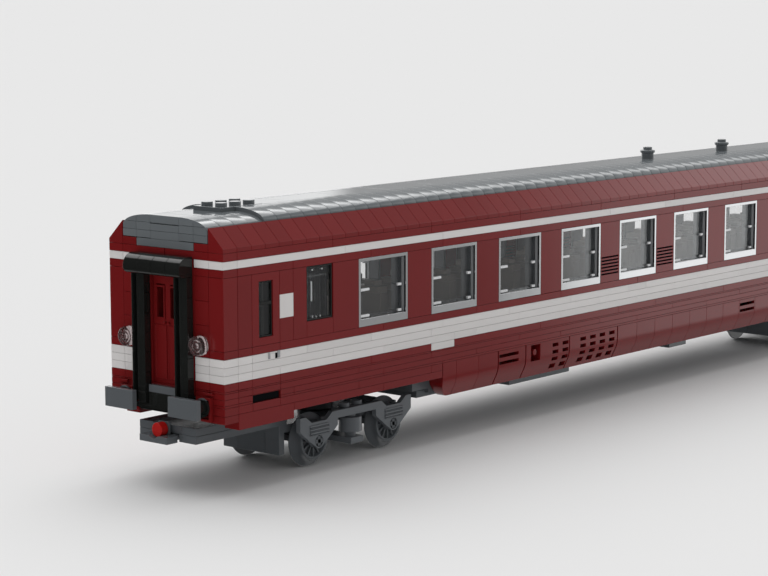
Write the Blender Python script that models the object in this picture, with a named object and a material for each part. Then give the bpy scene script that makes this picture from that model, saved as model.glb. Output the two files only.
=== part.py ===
"""A brick-built toy passenger coach on two four-wheel bogies, in metres, +Z up.

It runs along X and stands on its wheel flanges at Z = 0. The near end is at -X, the right-hand side at -Y.
Places on the body are given on the building grid: s studs from the near end, u studs from the right-hand
side, and n plates above the bottom of the body.
"""

import math

import bmesh
import bpy
from mathutils import Matrix, Vector

# The building grid
STUD = 0.008
PLATE = 0.0032
SEAM = 0.0003
STUD_RADIUS = 0.0024
STUD_HEIGHT = 0.0017
ROUND_STEPS = 24

# The body
LENGTH = 72
WIDTH = 8
BODY_Z = 0.0290
WALL = 1
END_RETURN = 2
PANEL = 0.0020
BAND_LOW = (5, 8)
BAND_HIGH = (19, 20)
CORNICE_TOP = 21
SLOPE_LIP = 0.55
SLOPE_TOP = 24
ROOF_LEDGE = 0.5
ROOF_UNDERSIDE = 22
FLOOR_TOP = 1.5

# The big windows: the first starts at WINDOW_FIRST, and they repeat along the wall
WINDOW_COUNT = 9
WINDOW_FIRST = 10
WINDOW_PITCH = 6
WINDOW_WIDTH = 4
WINDOW_LEVELS = (9, 18)
FRAME_SIDE = 0.0014
FRAME_TOP = 0.0014
FRAME_SILL = 0.0032
GLASS = 0.0009

# The bogies and wheels
BOGIE_S = 11
AXLE_SPREAD = 0.048
FLANGE_RADIUS = 0.0114
TREAD_RADIUS = 0.0082
WHEEL_WIDTH = 0.0046
FLANGE_WIDTH = 0.0010
AXLE_RADIUS = 0.0021
BEARING_GAP = 0.0003
BOGIE_WIDTH = 0.048
SIDE_FRAME = 0.0024
WHEEL_GAP = 0.0004
BOGIE_TOP = -0.0035
BOGIE_PLATES = 3
PIVOT_RADIUS = 0.0023
SPOKES = 12

HALF_LENGTH = LENGTH * STUD / 2
HALF_WIDTH = WIDTH * STUD / 2


def along(s):
    return s * STUD - HALF_LENGTH


def across(u):
    return u * STUD - HALF_WIDTH


def level(n):
    return BODY_Z + n * PLATE


# Materials

COLOURS = {
    "dark_red": ((0.165, 0.012, 0.014), 0.25, 0.0),
    "white": ((0.72, 0.70, 0.69), 0.25, 0.0),
    "dark_grey": ((0.080, 0.095, 0.105), 0.35, 0.0),
    "roof_grey": ((0.105, 0.125, 0.140), 0.30, 0.0),
    "black": ((0.012, 0.013, 0.014), 0.30, 0.0),
    "silver": ((0.78, 0.79, 0.80), 0.25, 0.6),
    "clear": ((0.30, 0.33, 0.35), 0.08, 0.0),
    "seat_grey": ((0.11, 0.10, 0.095), 0.45, 0.0),
    "red": ((0.50, 0.012, 0.010), 0.25, 0.0),
}


def material(slot):
    if slot in bpy.data.materials:
        return bpy.data.materials[slot]
    colour, roughness, metallic = COLOURS[slot]
    made = bpy.data.materials.new(slot)
    made.use_nodes = True
    shader = made.node_tree.nodes["Principled BSDF"]
    shader.inputs["Base Color"].default_value = (*colour, 1)
    shader.inputs["Roughness"].default_value = roughness
    shader.inputs["Metallic"].default_value = metallic
    made.diffuse_color = (*colour, 1)
    return made


# Shapes


def add_box(mesh, low, high):
    """A block between two corners."""
    low, high = Vector(low), Vector(high)
    size = high - low
    place = Matrix.Translation((low + high) / 2) @ Matrix.Diagonal((*size, 1))
    bmesh.ops.create_cube(mesh, size=1, matrix=place)


def add_grid_box(mesh, s, u, n, inset=0.0):
    """A block on the building grid, each pair its low and high side, drawn in by inset all round."""
    low = (along(s[0]) + inset, across(u[0]) + inset, level(n[0]) + inset)
    high = (along(s[1]) - inset, across(u[1]) - inset, level(n[1]) - inset)
    add_box(mesh, low, high)


def add_cylinder(mesh, centre, radius, length, axis="Z", steps=ROUND_STEPS, top_radius=None):
    """A round bar or cone frustum from its centre."""
    turn = {
        "X": Matrix.Rotation(math.pi / 2, 4, "Y"),
        "Y": Matrix.Rotation(-math.pi / 2, 4, "X"),
        "Z": Matrix(),
    }
    bmesh.ops.create_cone(
        mesh,
        cap_ends=True,
        segments=steps,
        radius1=radius,
        radius2=radius if top_radius is None else top_radius,
        depth=length,
        matrix=Matrix.Translation(centre) @ turn[axis],
    )


def add_prism(mesh, outline, axis, low, high):
    """A flat outline swept along an axis. It is given in the other two axes, in the order X, Y, Z."""
    spot = {
        "X": lambda a, b, c: (c, a, b),
        "Y": lambda a, b, c: (a, c, b),
        "Z": lambda a, b, c: (a, b, c),
    }[axis]
    start = [mesh.verts.new(spot(a, b, low)) for a, b in outline]
    face = mesh.faces.new(start)
    grown = bmesh.ops.extrude_face_region(mesh, geom=[face])["geom"]
    moved = [item for item in grown if isinstance(item, bmesh.types.BMVert)]
    bmesh.ops.translate(mesh, verts=moved, vec=Vector(spot(0, 0, high - low)))


def add_loft(mesh, rings):
    """A closed skin through rings that have the same number of points."""
    loops = [[mesh.verts.new(point) for point in ring] for ring in rings]
    for low, high in zip(loops, loops[1:]):
        for i in range(len(low)):
            j = (i + 1) % len(low)
            mesh.faces.new((low[i], low[j], high[j], high[i]))
    mesh.faces.new(loops[0][::-1])
    mesh.faces.new(loops[-1])
    bmesh.ops.remove_doubles(mesh, verts=mesh.verts, dist=1e-6)


def arc(centre, radius, start, end, steps):
    """Points round a circle, from one angle to another in degrees, both ends included."""
    turns = [math.radians(start + (end - start) * i / steps) for i in range(steps + 1)]
    return [(centre[0] + radius * math.cos(t), centre[1] + radius * math.sin(t)) for t in turns]


def finish_mesh(mesh, name):
    bmesh.ops.recalc_face_normals(mesh, faces=mesh.faces)
    data = bpy.data.meshes.new(name)
    mesh.to_mesh(data)
    mesh.free()
    return data


def shape(*makers):
    """One mesh from calls that each draw into it."""
    mesh = bmesh.new()
    for make in makers:
        make(mesh)
    return mesh


def place_object(name, mesh, slot, parent=None, origin=(0, 0, 0)):
    """A visible part. Its mesh is drawn in world places, and its origin is set afterwards."""
    bmesh.ops.translate(mesh, verts=mesh.verts, vec=-Vector(origin))
    obj = bpy.data.objects.new(name, finish_mesh(mesh, name))
    bpy.context.scene.collection.objects.link(obj)
    obj.data.materials.append(material(slot))
    obj.location = origin
    if parent:
        obj.parent = parent
        obj.matrix_parent_inverse = Matrix.Translation(-parent.location)
    return obj


def boolean(obj, mesh, operation):
    """Cuts a shape from a part or fuses it on. The helper is kept, hidden from the render."""
    name = f"{obj.name}_{operation.lower()}_{len(obj.modifiers)}"
    helper = bpy.data.objects.new(name, finish_mesh(mesh, name))
    bpy.context.scene.collection.objects.link(helper)
    helper.hide_render = True
    helper.display_type = "WIRE"
    modifier = obj.modifiers.new(name, "BOOLEAN")
    modifier.operation = operation
    modifier.solver = "EXACT"
    modifier.object = helper


def cut(obj, mesh):
    boolean(obj, mesh, "DIFFERENCE")


def fuse(obj, mesh):
    boolean(obj, mesh, "UNION")


def smooth(obj, angle=35):
    obj.data.shade_smooth()
    obj.data.set_sharp_from_angle(angle=math.radians(angle))


def mirrored_spans(spans):
    """Spans along the body and the same ones seen from the far end."""
    return list(spans) + [(LENGTH - high, LENGTH - low) for low, high in reversed(spans)]


def window_spans():
    starts = [WINDOW_FIRST + WINDOW_PITCH * i for i in range(WINDOW_COUNT)]
    return [(s, s + WINDOW_WIDTH) for s in starts]


# Sides are made at -Y and mirrored for the other side
SIDES = (("right", -1), ("left", 1))
ENDS = (("near", -1), ("far", 1))


def mirror(mesh, x=1, y=1):
    """Turns a shape drawn at the near right corner into the same shape at another corner."""
    bmesh.ops.transform(mesh, matrix=Matrix.Diagonal((x, y, 1, 1)), verts=mesh.verts)
    return mesh


# The walls

SLOT_SPAN = (2, 4)
SLOT_LEVELS = (2, 3)
SLOT_DEPTH = 0.005
VALANCE_SPAN = (1, 5)
SKIRT_SPAN = (17, LENGTH - 17)
SKIRT_TOP = 2
SKIRT_BOTTOM = -2.5
WHITE_TAB = (16, 18)
DOOR_WINDOW = (2.5, 3.5)
DOOR_WINDOW_LEVELS = (10, 17)
END_WINDOW = (6, 8)
END_WINDOW_LEVELS = (11, 18)
LOUVRES = ((32, 34), (38, 40))
LOUVRE_LEVELS = (10, 13)
LOUVRE_SLITS = 6
LOUVRE_EDGE = 0.1
LOUVRE_GAP = 0.22


def wall_outline():
    """Seen from above: a side one stud thick, with a return round both ends."""
    back = -HALF_WIDTH + WALL * STUD
    end = across(END_RETURN) - SEAM / 2
    inside = HALF_LENGTH - WALL * STUD
    return [
        (-HALF_LENGTH, -HALF_WIDTH),
        (HALF_LENGTH, -HALF_WIDTH),
        (HALF_LENGTH, end),
        (inside, end),
        (inside, back),
        (-inside, back),
        (-inside, end),
        (-HALF_LENGTH, end),
    ]


def wall_mesh(levels):
    low, high = level(levels[0]) + SEAM / 2, level(levels[1]) - SEAM / 2
    return shape(lambda mesh: add_prism(mesh, wall_outline(), "Z", low, high))


def side_box(s, n, depth=(-0.5, 1), inset=0.0):
    """A block in the -Y wall, by its reach into the wall in studs."""
    return lambda mesh: add_grid_box(mesh, s, depth, n, inset)


def make_lower_wall(side, y):
    mesh = mirror(wall_mesh((0, BAND_LOW[0])), y=-y)
    wall = place_object(f"lower_wall_{side}", mesh, "dark_red")
    notch = shape(
        lambda mesh: add_box(
            mesh,
            (along(SKIRT_SPAN[0]) - SEAM, -HALF_WIDTH - STUD, level(-1)),
            (along(SKIRT_SPAN[1]) + SEAM, across(WALL) + STUD, level(SKIRT_TOP) + SEAM / 2),
        ),
        *[
            lambda mesh, s=s: add_box(
                mesh,
                (along(s[0]) - SEAM / 2, -HALF_WIDTH - STUD, level(BAND_LOW[0] - 1) - SEAM / 2),
                (along(s[1]) + SEAM / 2, across(WALL) + STUD, level(BAND_LOW[0]) + PLATE),
            )
            for s in mirrored_spans([WHITE_TAB])
        ],
        *[
            lambda mesh, s=s: add_box(
                mesh,
                (along(s[0]), -HALF_WIDTH - STUD, level(SLOT_LEVELS[0])),
                (along(s[1]), -HALF_WIDTH + SLOT_DEPTH, level(SLOT_LEVELS[1])),
            )
            for s in mirrored_spans([SLOT_SPAN])
        ],
    )
    cut(wall, mirror(notch, y=-y))
    for s in mirrored_spans([VALANCE_SPAN]):
        fuse(wall, mirror(shape(side_box(s, (-1, 0.5), (0, WALL))), y=-y))


def make_lower_band(side, y):
    band = place_object(f"band_low_{side}", mirror(wall_mesh(BAND_LOW), y=-y), "white")
    for s in mirrored_spans([WHITE_TAB]):
        tab = shape(
            lambda mesh, s=s: add_box(
                mesh,
                (along(s[0]) + SEAM / 2, -HALF_WIDTH, level(BAND_LOW[0] - 1) + SEAM / 2),
                (along(s[1]) - SEAM / 2, across(WALL), level(BAND_LOW[0] + 1)),
            )
        )
        fuse(band, mirror(tab, y=-y))


def make_window_wall(side, y):
    """A thin panel along the whole side. The end wall closes the corner behind it."""
    low, high = level(BAND_LOW[1]) + SEAM / 2, level(BAND_HIGH[0]) - SEAM / 2
    mesh = shape(
        lambda m: add_box(m, (-HALF_LENGTH, -HALF_WIDTH, low), (HALF_LENGTH, -HALF_WIDTH + PANEL, high))
    )
    wall = place_object(f"window_wall_{side}", mirror(mesh, y=-y), "dark_red")
    openings = [(s, WINDOW_LEVELS) for s in window_spans()]
    openings += [(s, DOOR_WINDOW_LEVELS) for s in mirrored_spans([DOOR_WINDOW])]
    openings += [(s, END_WINDOW_LEVELS) for s in mirrored_spans([END_WINDOW])]
    pitch = (LOUVRE_LEVELS[1] - LOUVRE_LEVELS[0]) / LOUVRE_SLITS
    for s in LOUVRES:
        for i in range(LOUVRE_SLITS):
            slit = LOUVRE_LEVELS[0] + pitch * (i + 0.5)
            openings.append(
                (
                    (s[0] + LOUVRE_EDGE, s[1] - LOUVRE_EDGE),
                    (slit - LOUVRE_GAP / 2, slit + LOUVRE_GAP / 2),
                )
            )
    cut(wall, mirror(shape(*[side_box(s, n) for s, n in openings]), y=-y))


def make_upper_band(side, y):
    place_object(f"band_high_{side}", mirror(wall_mesh(BAND_HIGH), y=-y), "white")


def make_roof_side(side, y):
    """The row above the upper band, the 45 degree slope and the ledge that the roof lies on."""
    bottom = level(BAND_HIGH[1]) + SEAM / 2
    ledge = across(WALL + ROOF_LEDGE)
    section = [
        (-HALF_WIDTH, bottom),
        (ledge, bottom),
        (ledge, level(ROOF_UNDERSIDE) - SEAM / 2),
        (across(WALL), level(ROOF_UNDERSIDE) - SEAM / 2),
        (across(WALL), level(SLOPE_TOP)),
        (-HALF_WIDTH, level(CORNICE_TOP + SLOPE_LIP)),
    ]
    mesh = shape(lambda m: add_prism(m, section, "X", -HALF_LENGTH, HALF_LENGTH))
    part = place_object(f"roof_side_{side}", mirror(mesh, y=-y), "dark_red")
    for _, x in ENDS:
        for reach, top in ((WIDTH / 2, CORNICE_TOP), (END_RETURN, ROOF_UNDERSIDE)):
            gable = shape(
                lambda m: add_box(
                    m,
                    (-HALF_LENGTH, across(0.5), bottom),
                    (along(WALL), across(reach) - SEAM / 2, level(top) - SEAM / 2),
                )
            )
            fuse(part, mirror(gable, x=-x, y=-y))


# Window units and glazing


def make_window_frames(side, y):
    """Each big window's frame, with a deep sill, in the thickness of the wall panel."""
    for number, s in enumerate(window_spans(), 1):
        low = (along(s[0]) + SEAM, -HALF_WIDTH, level(WINDOW_LEVELS[0]) + SEAM)
        high = (along(s[1]) - SEAM, -HALF_WIDTH + PANEL, level(WINDOW_LEVELS[1]) - SEAM)
        mesh = shape(lambda m: add_box(m, low, high))
        frame = place_object(f"window_{side}_{number}", mirror(mesh, y=-y), "silver")
        light = shape(
            lambda m: add_box(
                m,
                (low[0] + FRAME_SIDE, low[1] - STUD, low[2] + FRAME_SILL),
                (high[0] - FRAME_SIDE, high[1] + STUD, high[2] - FRAME_TOP),
            )
        )
        cut(frame, mirror(light, y=-y))


def make_glazing(side, y):
    """One clear strip behind the wall panel and its windows."""
    front = -HALF_WIDTH + PANEL + SEAM
    mesh = shape(
        lambda m: add_box(
            m,
            (along(WALL) + SEAM, front, level(BAND_LOW[1]) + SEAM / 2),
            (along(LENGTH - WALL) - SEAM, front + GLASS, level(BAND_HIGH[0]) - SEAM / 2),
        )
    )
    place_object(f"glazing_{side}", mirror(mesh, y=-y), "clear")


# The roof

ARCH_S = 4
ROOF_END = (23.5, 25)
ROOF_MAIN = (24, 25.5)
ROOF_CURVE_STEPS = 8
ROOF_FLAT = 2
ROOF_PLATE = (3, 6)
VENT_SPOTS = (43, 52)
VENT_RINGS = (
    (0.0040, 0.0000),
    (0.0040, 0.0016),
    (0.0032, 0.0020),
    (0.0032, 0.0036),
    (0.0047, 0.0040),
    (0.0047, 0.0058),
)


def roof_section(edge, top):
    """An elliptical shoulder on each side of a flat middle, on upright feet."""
    half_flat = ROOF_FLAT * STUD / 2
    shoulder = HALF_WIDTH - WALL * STUD - SEAM - half_flat
    rise = (top - edge) * PLATE
    turns = [math.pi / 2 * i / ROOF_CURVE_STEPS for i in range(ROOF_CURVE_STEPS + 1)]
    left = [(half_flat + shoulder * math.sin(t), level(edge) + rise * math.cos(t)) for t in turns]
    left.append((half_flat + shoulder, level(ROOF_UNDERSIDE) + SEAM / 2))
    return [(-y, z) for y, z in reversed(left)] + left


def make_roof():
    low, high = along(ARCH_S), along(LENGTH - ARCH_S)
    main = shape(lambda m: add_prism(m, roof_section(*ROOF_MAIN), "X", low, high))
    roof = place_object("roof", main, "roof_grey")
    for _, x in ENDS:
        low, high = -HALF_LENGTH, along(ARCH_S) + STUD / 2
        fuse(roof, mirror(shape(lambda m: add_prism(m, roof_section(*ROOF_END), "X", low, high)), x=-x))
        inner = END_RETURN * STUD + SEAM
        gable = shape(
            lambda m: add_box(
                m,
                (-HALF_LENGTH, -HALF_WIDTH + inner, level(CORNICE_TOP) + SEAM / 2),
                (along(WALL), HALF_WIDTH - inner, level(ROOF_UNDERSIDE) + PLATE / 2),
            )
        )
        fuse(roof, mirror(gable, x=-x))
        plate = shape(
            lambda m: add_box(
                m,
                (along(ROOF_PLATE[0]), -STUD, level(ROOF_END[1] - 0.5)),
                (along(ARCH_S) + STUD / 2, STUD, level(ROOF_MAIN[1]) - 0.00005),
            )
        )
        fuse(roof, mirror(plate, x=-x))
        fuse(roof, mirror(shape(add_roof_studs), x=-x))
    fuse(roof, shape(add_vents))


def add_roof_studs(mesh):
    for i in range(ROOF_PLATE[1] - ROOF_PLATE[0]):
        for y in (-STUD / 2, STUD / 2):
            x = along(ROOF_PLATE[0] + 0.5 + i)
            base = level(ROOF_MAIN[1]) - STUD_HEIGHT / 2
            add_cylinder(mesh, (x, y, base + STUD_HEIGHT * 0.75), STUD_RADIUS, STUD_HEIGHT * 1.5, steps=16)


def add_vents(mesh):
    """Two round ventilators, each turned from its radius and height at each ring."""
    base = level(ROOF_MAIN[1])
    for s in VENT_SPOTS:
        rings = []
        for radius, height in ((VENT_RINGS[0][0], -PLATE / 2), *VENT_RINGS[1:]):
            circle = [(a, b) for a, b in arc((along(s), 0), radius, 0, 360, ROUND_STEPS)][:-1]
            rings.append([(a, b, base + height) for a, b in circle])
        add_loft(mesh, rings)


# The ends

GANGWAY_DEPTH = 0.0080
COLUMN_DEPTH = 0.0034
COLUMN_LEVELS = (1.5, 18.3)
HEAD_LEVELS = (17.8, 20.3)
HEAD_ROUND = 0.0050
COLUMNS = ((2, 3), (5, 6))
GROOVE_PLACE = 0.0034
GROOVE_WIDTH = 0.0022
DOOR_OPENING = (3, 5)
DOOR_LEVELS = (4, 18)
DOOR_INSET = 0.0012
DOOR_LIGHTS = ((3.2, 3.8), (4.2, 4.8))
DOOR_LIGHT_LEVELS = (12, 16.4)
SILL_LEVELS = (0.3, 3)
STEP_DEPTH = 0.0026
BUFFER_SPAN = (0.75, 2.75)
BUFFER_LEVELS = (0.7, 3.2)
BUFFER_FRONT = 0.0094
BUFFER_THICK = 0.0024
STEM_RADIUS = 0.0038
LAMP_U = 1.5
LAMP_LEVEL = 9.5
LAMP_RADIUS = 0.0039
LAMP_DEPTH = 0.0037
# Shares of the lamp's radius and depth, from its back to its lens
LAMP_PROFILE = ((1, 0), (1, 0.85), (0.85, 1), (0.68, 0.86), (0.05, 0.97))


def make_gangway(end, x):
    """The black surround: a round-nosed head over two grooved columns."""
    face = -HALF_LENGTH - SEAM
    front = face - GANGWAY_DEPTH + SEAM
    low, high = level(HEAD_LEVELS[0]), level(HEAD_LEVELS[1])
    nose = [
        (face, low),
        (face, high),
        *arc((front + HEAD_ROUND, high - HEAD_ROUND), HEAD_ROUND, 90, 180, 6),
        *arc((front + HEAD_ROUND / 2, low + HEAD_ROUND / 2), HEAD_ROUND / 2, 180, 270, 4),
    ]
    edge = across(COLUMNS[0][0]) + SEAM
    head = shape(lambda m: add_prism(m, nose, "Y", edge, -edge))
    gangway = place_object(f"gangway_{end}", mirror(head, x=-x), "black")
    for u in COLUMNS:
        groove = across(u[1]) - GROOVE_PLACE
        column = [
            (face, across(u[0]) + SEAM),
            (face - COLUMN_DEPTH, across(u[0]) + SEAM),
            (face - COLUMN_DEPTH, groove),
            (face - COLUMN_DEPTH / 3, groove),
            (face - COLUMN_DEPTH / 3, groove + GROOVE_WIDTH),
            (face - COLUMN_DEPTH, groove + GROOVE_WIDTH),
            (face - COLUMN_DEPTH, across(u[1]) - SEAM),
            (face, across(u[1]) - SEAM),
        ]
        bar = shape(lambda m: add_prism(m, column, "Z", level(COLUMN_LEVELS[0]), level(COLUMN_LEVELS[1])))
        fuse(gangway, mirror(bar, x=-x))


def make_end_door(end, x):
    """The end wall, wide behind the window panels, with its double door set back and two lights cut."""
    edge = across(END_RETURN) + SEAM
    corner = -HALF_WIDTH + PANEL + SEAM
    mesh = shape(
        lambda m: add_box(
            m,
            (-HALF_LENGTH, edge, level(SILL_LEVELS[1]) + SEAM / 2),
            (along(WALL), -edge, level(BAND_HIGH[1]) - SEAM / 2),
        )
    )
    door = place_object(f"end_door_{end}", mirror(mesh, x=-x), "dark_red")
    wide = shape(
        lambda m: add_box(
            m,
            (-HALF_LENGTH, corner, level(BAND_LOW[1]) + SEAM / 2),
            (along(WALL), -corner, level(BAND_HIGH[0]) - SEAM / 2),
        )
    )
    fuse(door, mirror(wide, x=-x))
    recess = shape(
        lambda m: add_box(
            m,
            (-HALF_LENGTH - STUD, across(DOOR_OPENING[0]), level(DOOR_LEVELS[0])),
            (-HALF_LENGTH + DOOR_INSET, across(DOOR_OPENING[1]), level(DOOR_LEVELS[1])),
        )
    )
    cut(door, mirror(recess, x=-x))
    through = (-0.5, WALL + 0.5)
    lights = shape(*[lambda m, u=u: add_grid_box(m, through, u, DOOR_LIGHT_LEVELS) for u in DOOR_LIGHTS])
    cut(door, mirror(lights, x=-x))


def make_end_sill(end, x):
    """The sill under the door, with its step and the two buffers on their stems."""
    edge = across(END_RETURN) + SEAM
    mesh = shape(
        lambda m: add_box(
            m,
            (-HALF_LENGTH, edge, level(SILL_LEVELS[0])),
            (along(WALL), -edge, level(SILL_LEVELS[1]) - SEAM / 2),
        )
    )
    sill = place_object(f"end_sill_{end}", mirror(mesh, x=-x), "dark_grey")
    step = shape(
        lambda m: add_box(
            m,
            (-HALF_LENGTH - STEP_DEPTH, across(DOOR_OPENING[0]) + SEAM, level(SILL_LEVELS[1] - 0.1)),
            (-HALF_LENGTH - SEAM, across(DOOR_OPENING[1]) - SEAM, level(DOOR_LEVELS[0] - 0.2)),
        )
    )
    riser = shape(
        lambda m: add_box(
            m,
            (-HALF_LENGTH - STEP_DEPTH, across(DOOR_OPENING[0]) + SEAM, level(SILL_LEVELS[0] + 1)),
            (-HALF_LENGTH + SEAM, across(DOOR_OPENING[1]) - SEAM, level(SILL_LEVELS[1] - 0.05)),
        )
    )
    beam = shape(
        lambda m: add_box(
            m,
            (-HALF_LENGTH - STEP_DEPTH, across(BUFFER_SPAN[0] + 0.5), level(BUFFER_LEVELS[0])),
            (-HALF_LENGTH - SEAM, -across(BUFFER_SPAN[0] + 0.5), level(COLUMN_LEVELS[0]) - SEAM),
        )
    )
    for mesh in (riser, step, beam):
        fuse(sill, mirror(mesh, x=-x))
    buffer_back = -HALF_LENGTH - BUFFER_FRONT + BUFFER_THICK
    for y in (-1, 1):
        back = -HALF_LENGTH - STEP_DEPTH / 2
        front = buffer_back - BUFFER_THICK / 2
        stem = shape(
            lambda m: add_cylinder(
                m,
                ((back + front) / 2, across(BUFFER_SPAN[0] + 0.5), level(sum(BUFFER_LEVELS) / 2)),
                STEM_RADIUS,
                back - front,
                "X",
                20,
            )
        )
        plate = shape(
            lambda m: add_box(
                m,
                (-HALF_LENGTH - BUFFER_FRONT, across(BUFFER_SPAN[0]), level(BUFFER_LEVELS[0])),
                (buffer_back, across(BUFFER_SPAN[1]), level(BUFFER_LEVELS[1])),
            )
        )
        for mesh in (stem, plate):
            fuse(sill, mirror(mesh, x=-x, y=-y))


def make_lamps(end, x):
    """Round lamps beside the gangway, turned: a rim, a step and a shallow lens."""
    back = -HALF_LENGTH - SEAM
    centre = (across(LAMP_U), level(LAMP_LEVEL))
    for side, y in SIDES:
        rings = []
        for width, share in LAMP_PROFILE:
            reach = back - (LAMP_DEPTH - SEAM) * share
            circle = arc(centre, LAMP_RADIUS * width, 0, 360, ROUND_STEPS)[:-1]
            rings.append([(reach, a, b) for a, b in circle])
        lamp = shape(lambda m: add_loft(m, rings))
        smooth(place_object(f"lamp_{end}_{side}", mirror(lamp, x=-x, y=-y), "clear"))


# Below the floor

PIN_PROUD = 0.0008
BLOCK_SPAN = (15.6, LENGTH - 15.6)
BLOCK_BOTTOM = -1.8
DEEP_BOTTOM = -2.4
BOX_SPANS = ((25, 31), (42, 44))
BOX_REACH = (1.5, 6.5)
BOX_BOTTOM = -4.35
SKIRT_TUCK = 0.0036
SKIRT_STRAIGHT = 0.4
SKIRT_CORNER = 0.0070
PORT = ((25.1, 26), (-0.55, 1.8))
SLOT_ROWS = (0.2, 1.2)
SLOT_HEIGHT = 0.44
SLOT_SPANS = ((22.1, 23.9), (48.1, 49.9))
GRID_COLUMNS = (27.5, 28.5, 30.3, 31.3, 32.3, 33.3)
GRID_ROWS = (1.2, 0.17, -0.87, -1.9)
GRID_HOLE = (0.56, 0.5)
HOLE_DEPTH = 0.0050


def make_underframe():
    """The floor, with a boss and a pin for each bogie."""
    inset = WALL * STUD - SEAM
    mesh = shape(
        lambda m: add_box(
            m,
            (-HALF_LENGTH + WALL * STUD + SEAM, -HALF_WIDTH + WALL * STUD + SEAM, level(0)),
            (HALF_LENGTH - inset - 2 * SEAM, HALF_WIDTH - inset - 2 * SEAM, level(FLOOR_TOP)),
        )
    )
    floor = place_object("underframe", mesh, "dark_grey")
    plate_top = BODY_Z + BOGIE_TOP - (BOGIE_PLATES - 1) * PLATE
    plate_bottom = plate_top - PLATE
    for s in (BOGIE_S, LENGTH - BOGIE_S):
        top = level(0.5)
        bottom = plate_top + SEAM
        boss = shape(lambda m: add_cylinder(m, (along(s), 0, (top + bottom) / 2), STUD - SEAM, top - bottom))
        fuse(floor, boss)
        bottom = plate_bottom - PIN_PROUD
        middle = (top + bottom) / 2
        pin = shape(lambda m: add_cylinder(m, (along(s), 0, middle), PIVOT_RADIUS, top - bottom, steps=16))
        fuse(floor, pin)


def make_underfloor():
    """The trough between the skirts and the equipment boxes hung from it."""
    edge = WALL * STUD + SEAM
    mesh = shape(
        lambda m: add_box(
            m,
            (along(BLOCK_SPAN[0]), -HALF_WIDTH + edge, level(BLOCK_BOTTOM)),
            (along(BLOCK_SPAN[1]), HALF_WIDTH - edge, level(0) - SEAM),
        )
    )
    block = place_object("underfloor", mesh, "dark_grey")
    fuse(
        block,
        shape(
            lambda m: add_box(
                m,
                (along(SKIRT_SPAN[0]), -HALF_WIDTH + edge, level(DEEP_BOTTOM)),
                (along(SKIRT_SPAN[1]), HALF_WIDTH - edge, level(BLOCK_BOTTOM) + PLATE / 2),
            )
        ),
    )
    levels = (BOX_BOTTOM, DEEP_BOTTOM + 0.3)
    fuse(block, shape(*[lambda m, s=s: add_grid_box(m, s, BOX_REACH, levels) for s in BOX_SPANS]))


def skirt_section():
    """From the wall down: straight, then an arc that tucks the lower edge in."""
    top, bottom = level(SKIRT_TOP) - SEAM / 2, level(SKIRT_BOTTOM)
    knee = top - (top - bottom) * SKIRT_STRAIGHT
    drop = knee - bottom
    radius = (drop**2 + SKIRT_TUCK**2) / (2 * SKIRT_TUCK)
    sweep = math.degrees(math.asin(drop / radius))
    curve = arc((-HALF_WIDTH + radius, knee), radius, 180, 180 + sweep, 5)
    back = -HALF_WIDTH + WALL * STUD
    return [(-HALF_WIDTH, top), *curve, (back, bottom), (back, top)]


def make_skirt(side, y):
    low, high = along(SKIRT_SPAN[0]), along(SKIRT_SPAN[1])
    mesh = shape(lambda m: add_prism(m, skirt_section(), "X", low, high))
    skirt = place_object(f"skirt_{side}", mirror(mesh, y=-y), "dark_red")
    bottom = level(SKIRT_BOTTOM)
    for end, x in ENDS:
        corner = [
            (low - STUD, bottom + SKIRT_CORNER),
            (low, bottom + SKIRT_CORNER),
            *arc((low + SKIRT_CORNER, bottom + SKIRT_CORNER), SKIRT_CORNER, 190, 260, 5),
            (low + SKIRT_CORNER, bottom),
            (low + SKIRT_CORNER, bottom - STUD),
            (low - STUD, bottom - STUD),
        ]
        scoop = shape(lambda m: add_prism(m, corner, "Y", -HALF_WIDTH - STUD, -HALF_WIDTH + 2 * STUD))
        cut(skirt, mirror(scoop, x=-x, y=-y))
    holes = [(s, (n - SLOT_HEIGHT / 2, n + SLOT_HEIGHT / 2)) for s in SLOT_SPANS for n in SLOT_ROWS]
    holes.append(PORT)
    wide, high = GRID_HOLE
    for s in GRID_COLUMNS:
        for n in GRID_ROWS:
            holes.append(((s - wide / 2, s + wide / 2), (n - high / 2, n + high / 2)))
    cut(skirt, mirror(shape(*[side_box(s, n, (-0.5, HOLE_DEPTH / STUD)) for s, n in holes]), y=-y))


# Seats

SEAT_REACH = (1.9, 3.5)
SEAT_WIDTH = 1.4
SEAT_PLACE = 2.6
SEAT_BACK = 0.6
SEAT_BACK_TOP = 0.36
SEAT_SINK = 0.3
CUSHION_DROP = 0.4
SEAT_LEVELS = (5.2, 13.2)
CARPET_LEVELS = (FLOOR_TOP, 2.2)
CARPET_EDGE = 1.5


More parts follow.
